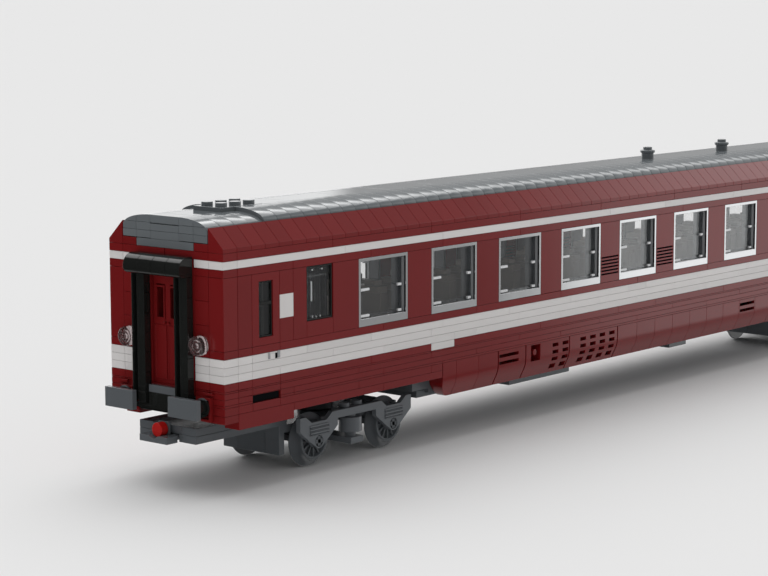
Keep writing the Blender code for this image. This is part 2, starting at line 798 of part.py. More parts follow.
def make_seats():
    """Seats in facing pairs, one pair to each window, standing on one floor plate."""
    mesh = shape(
        lambda m: add_box(
            m,
            (along(WINDOW_FIRST - 1), across(CARPET_EDGE), level(CARPET_LEVELS[0]) + SEAM),
            (along(LENGTH - WINDOW_FIRST + 1), across(WIDTH - CARPET_EDGE), level(CARPET_LEVELS[1])),
        )
    )
    seats = place_object("seats", mesh, "seat_grey")
    cushion, back = SEAT_LEVELS
    for low, high in window_spans():
        middle = (low + high) / 2
        for facing in (-1, 1):
            pair = bmesh.new()
            for hand in (-1, 1):
                near, far = [across(WIDTH / 2) + hand * (WIDTH / 2 - u) * STUD for u in SEAT_REACH]
                foot = CARPET_LEVELS[1] - SEAT_SINK
                outline = [
                    (middle + facing * (SEAT_PLACE - SEAT_WIDTH), foot),
                    (middle + facing * (SEAT_PLACE - SEAT_WIDTH), cushion),
                    (middle + facing * (SEAT_PLACE - SEAT_BACK), cushion - CUSHION_DROP),
                    (middle + facing * (SEAT_PLACE - SEAT_BACK_TOP), back),
                    (middle + facing * SEAT_PLACE, back),
                    (middle + facing * SEAT_PLACE, foot),
                ]
                points = [(along(s), level(n)) for s, n in outline]
                add_prism(pair, points, "Y", min(near, far), max(near, far))
            fuse(seats, pair)


# The bogies

FRONT_PANEL = (6, 6.4)
RISER_END = 6.6
PANEL_HEIGHT = 0.0092
TONGUE_START = 0
PLATE_SPAN = (6, 15.4)
PLATE_GAP = 0.0006
PLATE_HALF = BOGIE_WIDTH / 2 - SIDE_FRAME - WHEEL_GAP - WHEEL_WIDTH - PLATE_GAP
COUPLER_PIVOT = 0.0050
COUPLER_ARM = 0.0040
COUPLER_SEAT = (0.0010, 0.0020, 0.0030)
COUPLER_NOSE = (0.0020, 0.0080, 0.0078)
COUPLER_SLOT = (0.0100, 0.0064)
MAGNET_RADIUS = 0.0029
MAGNET_LENGTH = 0.0036
MAGNET_LEVEL = -0.0049
AXLE_BOX = 0.0118
BEAM_LEVELS = (-0.0064, -0.0097)
BOX_SHOULDER = -0.0125
BOX_FOOT = (0.0044, -0.0182)
DIP = -0.0092
DIP_HALVES = (0.0046, 0.0082)
BEARING_RIM = 0.0031
BRACKET_HALF = 0.0080
DAMPER_Y = BOGIE_WIDTH / 2 - 0.0040
DAMPER_RADIUS = 0.0050
DAMPER_LEVELS = (-0.0110, -0.0174)
BEAM_FOOT = (-0.0195, -0.0222)
RIB_LEVELS = (-0.0108, -0.0123, -0.0138)
RIB = (0.0120, 0.0010, 0.0008)


def make_bogie_plate(name, x, bogie):
    """The bogie's own plates: the base with its pivot hole, the tongue with its pin, and the front panel."""
    top = BODY_Z + BOGIE_TOP
    base_top = top - (BOGIE_PLATES - 1) * PLATE
    base_bottom = base_top - PLATE
    edge = -PLATE_HALF
    front, back = along(PLATE_SPAN[0]), along(PLATE_SPAN[1])
    panel, riser = along(FRONT_PANEL[1]), along(RISER_END)
    outline = [
        (along(TONGUE_START), base_top),
        (front, base_top),
        (front, base_bottom - PANEL_HEIGHT),
        (panel, base_bottom - PANEL_HEIGHT),
        (panel, base_bottom),
        (back, base_bottom),
        (back, base_top),
        (riser, base_top),
        (riser, top),
        (along(TONGUE_START), top),
    ]
    mesh = shape(lambda m: add_prism(m, outline, "Y", edge, -edge))
    plate = place_object(f"bogie_plate_{name}", mirror(mesh, x=-x), "dark_grey", bogie, bogie.location)
    slot = shape(
        lambda m: add_box(
            m,
            (-HALF_LENGTH - STUD, -COUPLER_SLOT[1], base_top - PLATE),
            (-HALF_LENGTH + COUPLER_SLOT[0], COUPLER_SLOT[1], base_top + PLATE),
        ),
        *[
            lambda m, y=y: add_cylinder(
                m, (along(BOGIE_S), y * DAMPER_Y, base_bottom), DAMPER_RADIUS + SEAM, 3 * PLATE, steps=20
            )
            for y in (-1, 1)
        ],
    )
    cut(plate, mirror(slot, x=-x))
    pin_low, pin_high = base_top + SEAM, base_top + PLATE + SEAM
    pin = shape(
        lambda m: add_cylinder(
            m,
            (-HALF_LENGTH + COUPLER_PIVOT, 0, (pin_low + pin_high) / 2),
            PIVOT_RADIUS,
            pin_high - pin_low,
            steps=16,
        )
    )
    fuse(plate, mirror(pin, x=-x))
    middle = (along(BOGIE_S), 0, (base_top + base_bottom) / 2)
    hole = shape(lambda m: add_cylinder(m, middle, PIVOT_RADIUS + BEARING_GAP, 2 * PLATE, steps=12))
    cut(plate, mirror(hole, x=-x))


def make_coupler(name, x, bogie):
    """A nose plate on an arm that swings on the tongue's pin, with the round magnet on its seat."""
    top = BODY_Z + BOGIE_TOP
    base_top = top - (BOGIE_PLATES - 1) * PLATE
    pivot = -HALF_LENGTH + COUPLER_PIVOT
    low, high = base_top + SEAM / 2, base_top + PLATE - SEAM
    holder = bpy.data.objects.new(f"coupler_pivot_{name}", None)
    bpy.context.scene.collection.objects.link(holder)
    holder.location = (-x * pivot, 0, (low + high) / 2)
    holder.parent = bogie
    holder.matrix_parent_inverse = Matrix.Translation(-bogie.location)
    nose_back, nose_front, nose_half = COUPLER_NOSE
    nose_back, nose_front = -HALF_LENGTH - nose_back, -HALF_LENGTH - nose_front
    outline = [
        *arc((pivot, 0), COUPLER_ARM, -90, 90, 8),
        (nose_back, COUPLER_ARM),
        (nose_back, nose_half),
        (nose_front, nose_half),
        (nose_front, -nose_half),
        (nose_back, -nose_half),
        (nose_back, -COUPLER_ARM),
    ]
    mesh = shape(lambda m: add_prism(m, outline, "Z", low, high))
    coupler = place_object(f"coupler_{name}", mirror(mesh, x=-x), "dark_grey")
    seat_back, seat_front, seat_half = COUPLER_SEAT
    seat_back, seat_front = -HALF_LENGTH - seat_back, -HALF_LENGTH - seat_front
    seat = shape(
        lambda m: add_box(
            m,
            (seat_front, -seat_half, high - PLATE / 2),
            (seat_back, seat_half, BODY_Z + MAGNET_LEVEL + MAGNET_RADIUS),
        )
    )
    stub = (nose_front + seat_back) / 2
    step = shape(lambda m: add_box(m, (stub, -seat_half, high - PLATE / 2), (seat_back, seat_half, high)))
    for mesh in (seat, step):
        fuse(coupler, mirror(mesh, x=-x))
    middle, centre = (pivot, 0, (low + high) / 2), BODY_Z + MAGNET_LEVEL
    bore = shape(lambda m: add_cylinder(m, middle, PIVOT_RADIUS + BEARING_GAP, 2 * PLATE, steps=16))
    cut(coupler, mirror(bore, x=-x))
    reach = seat_front - SEAM - MAGNET_LENGTH / 2
    disc = shape(lambda m: add_cylinder(m, (reach, 0, centre), MAGNET_RADIUS, MAGNET_LENGTH, "X"))
    trough_back, trough_front = seat_front, nose_front - STUD
    trough = shape(
        lambda m: add_cylinder(
            m,
            ((trough_back + trough_front) / 2, 0, centre),
            MAGNET_RADIUS + SEAM,
            trough_back - trough_front,
            "X",
        )
    )
    cut(coupler, mirror(trough, x=-x))
    magnet = place_object(f"magnet_{name}", mirror(disc, x=-x), "red")
    smooth(magnet)
    for obj in (coupler, magnet):
        obj.parent = holder
        obj.matrix_parent_inverse = Matrix.Translation(-holder.location)


def frame_outline(centre):
    """The cast side: a beam, and an axle box with a dip over it at each axle."""
    reach = AXLE_SPREAD / 2
    axle = FLANGE_RADIUS - BODY_Z
    top, under = BEAM_LEVELS
    foot, foot_level = BOX_FOOT
    low, high = DIP_HALVES
    half = [
        (0, top),
        (reach - high, top),
        (reach - low, DIP),
        (reach + low, DIP),
        (reach + high, top),
        (reach + AXLE_BOX, top),
        (reach + AXLE_BOX, BOX_SHOULDER),
        (reach + foot, foot_level),
        *[(reach + a, axle + b) for a, b in arc((0, 0), BEARING_RIM, -40, -140, 4)],
        (reach - foot, foot_level),
        (reach - AXLE_BOX, BOX_SHOULDER),
        (reach - AXLE_BOX, under),
        (0, under),
    ]
    other = [(-x, z) for x, z in reversed(half[1:-1])]
    return [(centre + x, BODY_Z + z) for x, z in half + other]


def make_side_frame(name, x, side, y, bogie):
    """One cast side of a bogie: axle boxes, a studded bracket, a damper, and half of the beam below."""
    outer = -BOGIE_WIDTH / 2
    inner = outer + SIDE_FRAME
    centre = along(BOGIE_S)
    mesh = shape(lambda m: add_prism(m, frame_outline(centre), "Y", outer, inner))
    mesh = mirror(mesh, x=-x, y=-y)
    frame = place_object(f"side_frame_{name}_{side}", mesh, "dark_grey", bogie, bogie.location)
    bracket_top, bracket_low = BODY_Z + BEAM_LEVELS[0], BODY_Z + BEAM_LEVELS[1]
    top, bottom = (BODY_Z + reach for reach in DAMPER_LEVELS)
    foot_top, foot_low = (BODY_Z + reach for reach in BEAM_FOOT)
    neck, neck_length = (bracket_low + foot_top) / 2, bracket_low - foot_top + PLATE / 2
    parts = (
        lambda m: add_box(
            m,
            (centre - BRACKET_HALF, inner - SIDE_FRAME / 2, bracket_low),
            (centre + BRACKET_HALF, -PLATE_HALF - SEAM, bracket_top - SEAM / 2),
        ),
        *[
            lambda m, at=at: add_cylinder(
                m, (centre + at, -DAMPER_Y, bracket_top), STUD_RADIUS, 2 * STUD_HEIGHT, steps=12
            )
            for at in (-STUD / 2, STUD / 2)
        ],
        lambda m: add_cylinder(m, (centre, -DAMPER_Y, neck), STUD_RADIUS, neck_length, steps=12),
        lambda m: add_cylinder(m, (centre, -DAMPER_Y, (top + bottom) / 2), DAMPER_RADIUS, top - bottom),
        lambda m: add_box(m, (centre - STUD / 2, outer, foot_low), (centre + STUD / 2, -SEAM / 2, foot_top)),
    )
    for add in parts:
        fuse(frame, mirror(shape(add), x=-x, y=-y))
    for offset in (-AXLE_SPREAD / 2, AXLE_SPREAD / 2):
        axle_x = centre + offset
        ribs = shape(
            *[
                lambda m, n=n: add_box(
                    m,
                    (axle_x - RIB[0] / 2, outer - RIB[1] / 2, BODY_Z + n - RIB[2] / 2),
                    (axle_x + RIB[0] / 2, outer + RIB[1] / 2, BODY_Z + n + RIB[2] / 2),
                )
                for n in RIB_LEVELS
            ]
        )
        fuse(frame, mirror(ribs, x=-x, y=-y))
        place = (axle_x, outer, FLANGE_RADIUS)
        bore = shape(lambda m: add_cylinder(m, place, AXLE_RADIUS + BEARING_GAP, 4 * SIDE_FRAME, "Y", 16))
        cut(frame, mirror(bore, x=-x, y=-y))


AXLE_SHORT = 0.0002
AXLE_RIB = 0.0018
HUB_RADIUS = 0.0030
RIM_THICK = 0.0014
WEB_DEPTH = 0.0014
WHEEL_CENTRE = 0.0004
FLANGE_ROOT = 0.0010
FLANGE_TIP = 0.0002
WHEEL_STEPS = 36
GAP_RADII = (0.0034, 0.0064)
GAP_HALF_ANGLES = (7, 11)
GAP_DEPTHS = (0.0030, 0.0012)


def add_axle(mesh, x):
    """A cross-section axle, as four ribs round a core."""
    half = BOGIE_WIDTH / 2 - AXLE_SHORT
    rib = AXLE_RIB / 2
    reach = AXLE_RADIUS
    corners = [(rib, rib), (rib, reach), (-rib, reach)]
    outline = []
    for turn in range(4):
        c, s = round(math.cos(turn * math.pi / 2)), round(math.sin(turn * math.pi / 2))
        outline += [(x + c * a - s * b, FLANGE_RADIUS + s * a + c * b) for a, b in corners]
    add_prism(mesh, outline, "Y", -half, half)


def add_wheel(mesh, x, hand):
    """A tread, a flange behind it and a dished face, turned about the axle."""
    outer = BOGIE_WIDTH / 2 - SIDE_FRAME - WHEEL_GAP
    inner = outer - WHEEL_WIDTH
    rim = TREAD_RADIUS - RIM_THICK
    web = outer - WEB_DEPTH
    profile = [
        (WHEEL_CENTRE, outer),
        (HUB_RADIUS, outer),
        (HUB_RADIUS, web),
        (rim, web),
        (rim, outer),
        (TREAD_RADIUS, outer),
        (TREAD_RADIUS + FLANGE_TIP, inner + 3 * FLANGE_WIDTH),
        (TREAD_RADIUS + FLANGE_ROOT, inner + 2 * FLANGE_WIDTH),
        (FLANGE_RADIUS - FLANGE_TIP, inner + FLANGE_WIDTH),
        (FLANGE_RADIUS, inner + FLANGE_WIDTH / 2),
        (FLANGE_RADIUS, inner),
        (WHEEL_CENTRE, inner),
    ]
    rings = []
    for radius, reach in profile:
        circle = arc((x, FLANGE_RADIUS), radius, 0, 360, WHEEL_STEPS)[:-1]
        rings.append([(a, hand * reach, b) for a, b in circle])
    add_loft(mesh, rings)


def add_spoke_gaps(mesh, x, hand):
    """Wedges between the spokes, cut through the web."""
    outer = BOGIE_WIDTH / 2 - SIDE_FRAME - WHEEL_GAP
    low, high = sorted(hand * (outer - depth) for depth in GAP_DEPTHS)
    for spoke in range(SPOKES):
        middle = math.degrees(2 * math.pi * (spoke + 0.5) / SPOKES)
        near_half, far_half = GAP_HALF_ANGLES
        near = arc((x, FLANGE_RADIUS), GAP_RADII[0], middle + near_half, middle - near_half, 1)
        far = arc((x, FLANGE_RADIUS), GAP_RADII[1], middle - far_half, middle + far_half, 2)
        add_prism(mesh, near + far, "Y", low, high)


def make_wheelset(name, x, bogie):
    origin = Vector((x, 0, FLANGE_RADIUS))
    axle = place_object(f"wheelset_{name}", shape(lambda m: add_axle(m, x)), "dark_grey", bogie, origin)
    for hand in (-1, 1):
        wheel = shape(lambda m: add_wheel(m, x, hand))
        bmesh.ops.translate(wheel, verts=wheel.verts, vec=-origin)
        gaps = shape(lambda m: add_spoke_gaps(m, x, hand))
        bmesh.ops.translate(gaps, verts=gaps.verts, vec=-origin)
        fuse(axle, wheel)
        cut(axle, gaps)
    for modifier in axle.modifiers:
        modifier.object.location = origin
        modifier.object.parent = bogie
        modifier.object.matrix_parent_inverse = Matrix.Translation(-bogie.location)
    smooth(axle)


def make_bogie(name, x):
    bogie = bpy.data.objects.new(f"bogie_{name}", None)
    bpy.context.scene.collection.objects.link(bogie)
    bogie.location = (-x * along(BOGIE_S), 0, BODY_Z + BOGIE_TOP - (BOGIE_PLATES - 1) * PLATE)
    make_bogie_plate(name, x, bogie)
    make_coupler(name, x, bogie)
    for side, y in SIDES:
        make_side_frame(name, x, side, y, bogie)
    for place, offset in (("outer", x), ("inner", -x)):
        make_wheelset(f"{name}_{place}", bogie.location.x + offset * AXLE_SPREAD / 2, bogie)


def main():
    for obj in list(bpy.data.objects):
        bpy.data.objects.remove(obj, do_unlink=True)
    make_underframe()
    make_underfloor()
    for side, y in SIDES:
        make_lower_wall(side, y)
        make_lower_band(side, y)
        make_window_wall(side, y)
        make_upper_band(side, y)
        make_roof_side(side, y)
        make_window_frames(side, y)
        make_glazing(side, y)
        make_skirt(side, y)
    make_roof()
    make_seats()
    for end, x in ENDS:
        make_gangway(end, x)
        make_end_door(end, x)
        make_end_sill(end, x)
        make_lamps(end, x)
        make_bogie(end, x)


main()
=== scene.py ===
"""Dresses the toy passenger coach: bricks with seams and rounded edges, windows, seats, bogies and stage.

Everything is in metres in the frame's own coordinates. Places on the body are given on the building grid:
s studs from the near end, u studs from the right-hand side, and n plates above the bottom of the body.
"""

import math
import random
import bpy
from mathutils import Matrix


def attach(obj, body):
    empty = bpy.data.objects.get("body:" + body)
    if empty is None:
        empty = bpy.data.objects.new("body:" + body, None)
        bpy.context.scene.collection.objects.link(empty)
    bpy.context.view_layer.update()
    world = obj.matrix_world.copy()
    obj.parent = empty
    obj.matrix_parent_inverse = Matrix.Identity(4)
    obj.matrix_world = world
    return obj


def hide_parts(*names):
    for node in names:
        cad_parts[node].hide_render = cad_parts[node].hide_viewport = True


bl_info = {
    "name": "Toy passenger coach",
    "version": (1, 0, 0),
    "blender": (4, 5, 0),
    "location": "3D View > Sidebar > Coach",
    "description": "Builds the bricks, windows, seats, bogies and stage of a toy passenger coach",
    "category": "Object",
}

import bmesh
import bpy
from mathutils import Matrix, Vector

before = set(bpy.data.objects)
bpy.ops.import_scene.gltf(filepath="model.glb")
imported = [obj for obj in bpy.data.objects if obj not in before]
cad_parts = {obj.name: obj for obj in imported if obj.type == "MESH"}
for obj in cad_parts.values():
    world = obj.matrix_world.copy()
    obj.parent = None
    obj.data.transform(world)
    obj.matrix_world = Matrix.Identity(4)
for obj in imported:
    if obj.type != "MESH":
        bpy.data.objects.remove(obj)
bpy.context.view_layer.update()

# The building grid
STUD = 0.008
PLATE = 0.0032
LENGTH = 72
WIDTH = 8
BODY_Z = 0.0290
STUD_RADIUS = 0.0024
STUD_HEIGHT = 0.0017
HALF_LENGTH = LENGTH * STUD / 2
HALF_WIDTH = WIDTH * STUD / 2
FLOOR_TOP = 1.5

X, Y, Z = 0, 1, 2
SIDES = (("right", -1), ("left", 1))
ENDS = (("near", -1), ("far", 1))
WINDOWS = [(10 + 6 * i, 14 + 6 * i) for i in range(9)]
WINDOW_LEVELS = (9, 18)


def along(s):
    return s * STUD - HALF_LENGTH


def across(u):
    return u * STUD - HALF_WIDTH


def level(n):
    return BODY_Z + n * PLATE


def studs(places):
    return [along(s) for s in places]


def levels(places):
    return [level(n) for n in places]


def both_ends(seams):
    """Seams given from the near end, and the same ones seen from the far end."""
    return sorted({*seams, *(LENGTH - s for s in seams)})


# Settings


def colour_setting(name, description, default):
    return bpy.props.FloatVectorProperty(
        name=name, description=description, default=default, subtype="COLOR", size=3
    )


def share_setting(name, description, default):
    return bpy.props.FloatProperty(
        name=name, description=description, default=default, subtype="FACTOR", min=0, max=1
    )


class CoachColours(bpy.types.PropertyGroup):
    """The colours of the coach's plastics."""

    dark_red: colour_setting("Dark red", "Walls, slopes and skirts", (0.195, 0.0110, 0.0120))
    white: colour_setting("White", "The two bands", (0.80, 0.775, 0.765))
    dark_grey: colour_setting("Dark grey", "Bogies, sills and the trough", (0.115, 0.125, 0.135))
    roof_grey: colour_setting("Roof grey", "The roof", (0.155, 0.170, 0.180))
    black: colour_setting("Black", "The gangways", (0.014, 0.015, 0.014))
    silver: colour_setting("Silver", "Window frames", (0.80, 0.81, 0.82))
    seat_grey: colour_setting("Seat grey", "Seats", (0.230, 0.195, 0.165))
    red: colour_setting("Bright red", "The magnets", (0.52, 0.012, 0.010))


class CoachSizes(bpy.types.PropertyGroup):
    """Sizes that are the same for every brick."""

    seam: bpy.props.FloatProperty(
        name="Seam", description="The gap between two bricks", default=0.00005, unit="LENGTH", precision=5
    )
    edge: bpy.props.FloatProperty(
        name="Edge",
        description="The rounding of a brick's edges",
        default=0.00013,
        unit="LENGTH",
        precision=5,
    )
    glass_depth: bpy.props.FloatProperty(
        name="Glass depth",
        description="How far the panes lie behind the wall's face",
        default=0.0024,
        unit="LENGTH",
    )
    tone: share_setting("Tone", "How much the bricks differ in shade", 0.05)


class CoachStage(bpy.types.PropertyGroup):
    """Floor, light and lens."""

    floor: share_setting("Floor", "How pale the floor is", 0.80)
    sky: bpy.props.FloatProperty(name="Sky", description="Strength of the even light", default=0.46)
    key: bpy.props.FloatProperty(name="Key", description="Strength of the soft lamp overhead", default=1.95)
    lens: bpy.props.FloatProperty(
        name="Lens", description="Focal length", default=101.93, subtype="DISTANCE_CAMERA"
    )


def settings():
    scene = bpy.context.scene
    return scene.coach_colours, scene.coach_sizes, scene.coach_stage


# Finishes


class Wire:
    """A shader socket. Arithmetic on it adds Math nodes."""

    def __init__(self, finish, socket):
        self.finish = finish
        self.socket = socket

    def math(self, operation, *values):
        return self.finish.add("ShaderNodeMath", {"operation": operation}, dict(enumerate(values)))

    def __add__(self, other):
        return self.math("ADD", self, other)

    def __radd__(self, other):
        return self.math("ADD", other, self)

    def __sub__(self, other):
        return self.math("SUBTRACT", self, other)

    def __rsub__(self, other):
        return self.math("SUBTRACT", other, self)

    def __mul__(self, other):
        return self.math("MULTIPLY", self, other)

    def __rmul__(self, other):
        return self.math("MULTIPLY", other, self)


class Finish:
    """A node tree that is written line by line."""

    def __init__(self, tree):
        self.tree = tree
        tree.nodes.clear()

    @staticmethod
    def find(sockets, key):
        if isinstance(key, int):
            return sockets[key]
        named = [socket for socket in sockets if socket.identifier == key]
        return named[0] if named else sockets[key]

    def add(self, kind, choices=None, values=None, out=0):
        node = self.tree.nodes.new(kind)
        for key, value in (choices or {}).items():
            setattr(node, key, value)
        for key, value in (values or {}).items():
            socket = self.find(node.inputs, key)
            if isinstance(value, Wire):
                self.tree.links.new(value.socket, socket)
            else:
                socket.default_value = value
        return Wire(self, self.find(node.outputs, out)) if node.outputs else None

    def noise(self, place, scale, detail=2.0, roughness=0.5):
        values = {"Vector": place, "Scale": scale, "Detail": detail, "Roughness": roughness}
        return self.add("ShaderNodeTexNoise", {}, values)

    def surface(self, values):
        """The material's one shader, wired to its output."""
        shader = self.add("ShaderNodeBsdfPrincipled", {}, values)
        self.add("ShaderNodeOutputMaterial", {}, {"Surface": shader})


def new_finish(name):
    made = bpy.data.materials.new(name)
    made.use_nodes = True
    return made, Finish(made.node_tree)


FLOW_SCALE = 45.0
GRAIN_SCALE = 1600.0
GRAIN_DEPTH = 0.00002


def plastic(name, colour, roughness, metallic=0.0, speckle=0.06, hump=0.0, specular=0.5):
    """Moulded plastic: each brick its own shade, faint flow marks in the gloss, and a very fine grain.

    hump is how far each one-stud piece bulges along the coach.
    """
    made, finish = new_finish(name)
    tone = settings()[1].tone
    place = finish.add("ShaderNodeTexCoord", out="Object")
    flow = finish.noise(place, FLOW_SCALE, 3.0, 0.6)
    grain = finish.noise(place, GRAIN_SCALE)
    brick = finish.add("ShaderNodeAttribute", {"attribute_name": "tone"}, out="Fac")
    shade = 0.5 + brick * 0.5 + (flow - 0.5) * speckle * 8
    base = finish.add(
        "ShaderNodeMix",
        {"data_type": "RGBA"},
        {
            "Factor_Float": shade,
            "A_Color": (*[c * (1 - tone) for c in colour], 1),
            "B_Color": (*[min(1, c * (1 + tone)) for c in colour], 1),
        },
        "Result_Color",
    )
    bump = finish.add("ShaderNodeBump", {}, {"Strength": 0.05, "Distance": GRAIN_DEPTH, "Height": grain})
    if hump:
        along_coach = finish.add("ShaderNodeSeparateXYZ", {}, {"Vector": place}, "X")
        share = along_coach.math("FRACT", along_coach * (1 / STUD))
        bulge = 1 - 4 * (share - 0.5) * (share - 0.5)
        bump = finish.add(
            "ShaderNodeBump", {}, {"Strength": 1.0, "Distance": hump, "Height": bulge, "Normal": bump}
        )
    finish.surface(
        {
            "Base Color": base,
            "Roughness": flow * (roughness * 0.6) + roughness * 0.7,
            "Metallic": metallic,
            "Specular IOR Level": specular,
            "IOR": 1.5,
            "Normal": bump,
        }
    )
    return made


def pane_finish(name, tint, strength):
    """Clear plastic as a thin pane: it lets light through and reflects more at a glancing angle."""
    made, finish = new_finish(name)
    place = finish.add("ShaderNodeTexCoord", out="Object")
    haze = finish.noise(place, 30.0)
    facing = finish.add("ShaderNodeLayerWeight", {}, {"Blend": 0.5}, "Facing")
    edge = 0.04 + 0.96 * facing.math("POWER", facing, 5.0)
    finish.surface(
        {
            "Base Color": (*tint, 1),
            "Roughness": 0.02 + haze * 0.01,
            "Metallic": 1.0,
            "Alpha": edge * strength + haze * 0.01,
        }
    )
    return made


def lens_finish(name):
    """Thick clear plastic for the lamps."""
    made, finish = new_finish(name)
    place = finish.add("ShaderNodeTexCoord", out="Object")
    haze = finish.noise(place, 200.0)
    finish.surface(
        {
            "Base Color": (0.50, 0.42, 0.42, 1),
            "Roughness": 0.03 + haze * 0.03,
            "Transmission Weight": 0.95,
            "IOR": 1.45,
        }
    )
    return made


def finish_of(name):
    """The named finish, made when it is first asked for."""
    if name in bpy.data.materials and bpy.data.materials[name].get("coach"):
        return bpy.data.materials[name]
    colours = settings()[0]
    makers = {
        "dark red plastic": lambda n: plastic(n, colours.dark_red, 0.11),
        "white plastic": lambda n: plastic(n, colours.white, 0.15, speckle=0.03),
        "dark grey plastic": lambda n: plastic(n, colours.dark_grey, 0.16),
        # A lighter copy of the dark grey: painted fill light on the bogies' cast sides and the window reveals
        "dark grey with painted fill light": lambda n: plastic(n, [1.3 * c for c in colours.dark_grey], 0.24),
        "step grey plastic": lambda n: plastic(n, colours.dark_grey, 0.16),
        "roof grey plastic": lambda n: plastic(n, colours.roof_grey, 0.06),
        "roof curve plastic": lambda n: plastic(n, colours.roof_grey, 0.12, hump=0.00008),
        "black plastic": lambda n: plastic(n, colours.black, 0.13),
        "silver plastic": lambda n: plastic(n, colours.silver, 0.10, metallic=1.0, speckle=0.02),
        "rib grey plastic": lambda n: plastic(n, (0.36, 0.37, 0.38), 0.2, speckle=0.02),
        "seat plastic": lambda n: plastic(n, colours.seat_grey, 0.35),
        "bright red plastic": lambda n: plastic(n, colours.red, 0.22),
        # Near-black without gloss: painted shade in the slots, louvres, reveal grooves and behind the small
        # windows
        "painted shade black": lambda n: plastic(n, (0.008, 0.008, 0.009), 0.5, specular=0.0),
        "window pane": lambda n: pane_finish(n, (0.93, 0.95, 0.96), 1.9),
        "small pane": lambda n: pane_finish(n, (0.93, 0.95, 0.96), 0.9),
        "clear bar": lambda n: pane_finish(n, (0.95, 0.97, 0.98), 1.6),
        # White for the window lugs and the bars' glints: painted glints
        "painted glint white": lambda n: plastic(n, (0.90, 0.91, 0.92), 0.15, speckle=0.02),
        "lamp lens": lens_finish,
    }
    made = makers[name](name)
    made["coach"] = True
    return made


SLOT_FINISH = {
    "dark_red": "dark red plastic",
    "white": "white plastic",
    "dark_grey": "dark grey plastic",
    "roof_grey": "roof grey plastic",
    "black": "black plastic",
    "silver": "silver plastic",
    "seat_grey": "seat plastic",
    "red": "bright red plastic",
    "clear": "window pane",
}

# Shapes

# The CAD's gap between neighbouring walls is more than the first of these and less than the second
WORKING_GAP = (0.00008, 0.00022)
shades = random.Random(11)


def paint(mesh):
    """Gives a brick its own shade."""
    layer = mesh.faces.layers.float.get("tone") or mesh.faces.layers.float.new("tone")
    shade = shades.uniform(-1, 1)
    for face in mesh.faces:
        face[layer] = shade
    return mesh


def add_box(mesh, low, high):
    low, high = Vector(low), Vector(high)
    place = Matrix.Translation((low + high) / 2) @ Matrix.Diagonal((*(high - low), 1))
    bmesh.ops.create_cube(mesh, size=1, matrix=place)


def box(low, high):
    mesh = bmesh.new()
    add_box(mesh, low, high)
    return paint(mesh)


def grid_box(s, u, n):
    """A brick on the building grid, drawn in by half a seam."""
    gap = settings()[1].seam / 2
    low = (along(s[0]) + gap, across(u[0]) + gap, level(n[0]) + gap)
    high = (along(s[1]) - gap, across(u[1]) - gap, level(n[1]) - gap)
    return box(low, high)


def wall_box(x, depths, z):
    """A box in the -Y wall: its ends along X, its front and back behind the face, its bottom and top."""
    low, high = zip(x, (depths[0] - HALF_WIDTH, depths[1] - HALF_WIDTH), z)
    return box(low, high)


def rod(centre, radius, length, axis="Z", steps=32):
    quarter = math.pi / 2
    turns = {
        "X": Matrix.Rotation(quarter, 4, "Y"),
        "Y": Matrix.Rotation(-quarter, 4, "X"),
        "Z": Matrix(),
    }
    mesh = bmesh.new()
    bmesh.ops.create_cone(
        mesh,
        cap_ends=True,
        segments=steps,
        radius1=radius,
        radius2=radius,
        depth=length,
        matrix=Matrix.Translation(centre) @ turns[axis],
    )
    return paint(mesh)


def prism(outline, low, high):
    """An outline in Y and Z, swept along X."""
    mesh = bmesh.new()
    face = mesh.faces.new([mesh.verts.new((low, y, z)) for y, z in outline])
    grown = bmesh.ops.extrude_face_region(mesh, geom=[face])["geom"]
    moved = [item for item in grown if isinstance(item, bmesh.types.BMVert)]
    bmesh.ops.translate(mesh, verts=moved, vec=Vector((high - low, 0, 0)))
    bmesh.ops.recalc_face_normals(mesh, faces=mesh.faces)
    return paint(mesh)


def turned(profile, centre, axis, steps=40):
    """A lathe shape: each point of the profile is a radius and a place along the axis."""
    line = Vector([axis == name for name in "XYZ"])
    arm = Vector((1, 0, 0)) if axis == "Z" else Vector((0, 0, 1))
    mesh = bmesh.new()
    verts = [mesh.verts.new(Vector(centre) + line * reach + arm * radius) for radius, reach in profile]
    edges = [mesh.edges.new(pair) for pair in zip(verts, verts[1:])]
    bmesh.ops.spin(
        mesh,
        geom=verts + edges,
        cent=centre,
        axis=line,
        angle=2 * math.pi,
        steps=steps,
        use_merge=True,
        use_duplicate=False,
    )
    bmesh.ops.remove_doubles(mesh, verts=mesh.verts, dist=1e-7)
    bmesh.ops.recalc_face_normals(mesh, faces=mesh.faces)
    return paint(mesh)


def sheet(columns, rows, holes, front, back):
    """A flat -Y wall on a grid of columns and rows. Each hole is the column and row of a cell left out."""
    mesh = bmesh.new()
    across_cells, up_cells = len(columns) - 1, len(rows) - 1
    bmesh.ops.create_grid(mesh, x_segments=across_cells, y_segments=up_cells, size=1)
    left_out = []
    for face in mesh.faces:
        middle = face.calc_center_median()
        cell = (int((middle.x + 1) / 2 * across_cells), int((middle.y + 1) / 2 * up_cells))
        if cell in holes:
            left_out.append(face)
    for vert in mesh.verts:
        column = round((vert.co.x + 1) / 2 * across_cells)
        row = round((vert.co.y + 1) / 2 * up_cells)
        vert.co = (columns[column], front, rows[row])
    bmesh.ops.delete(mesh, geom=left_out, context="FACES")
    grown = bmesh.ops.extrude_face_region(mesh, geom=mesh.faces[:])["geom"]
    for item in grown:
        if isinstance(item, bmesh.types.BMVert):
            item.co.y = back
    bmesh.ops.recalc_face_normals(mesh, faces=mesh.faces)
    return paint(mesh)


def ring(outer, inner, front, back):
    """A window frame in a -Y wall. Each opening is its low X and Z and its high X and Z."""
    columns = (outer[0], inner[0], inner[2], outer[2])
    rows = (outer[1], inner[1], inner[3], outer[3])
    return sheet(columns, rows, [(1, 1)], front, back)


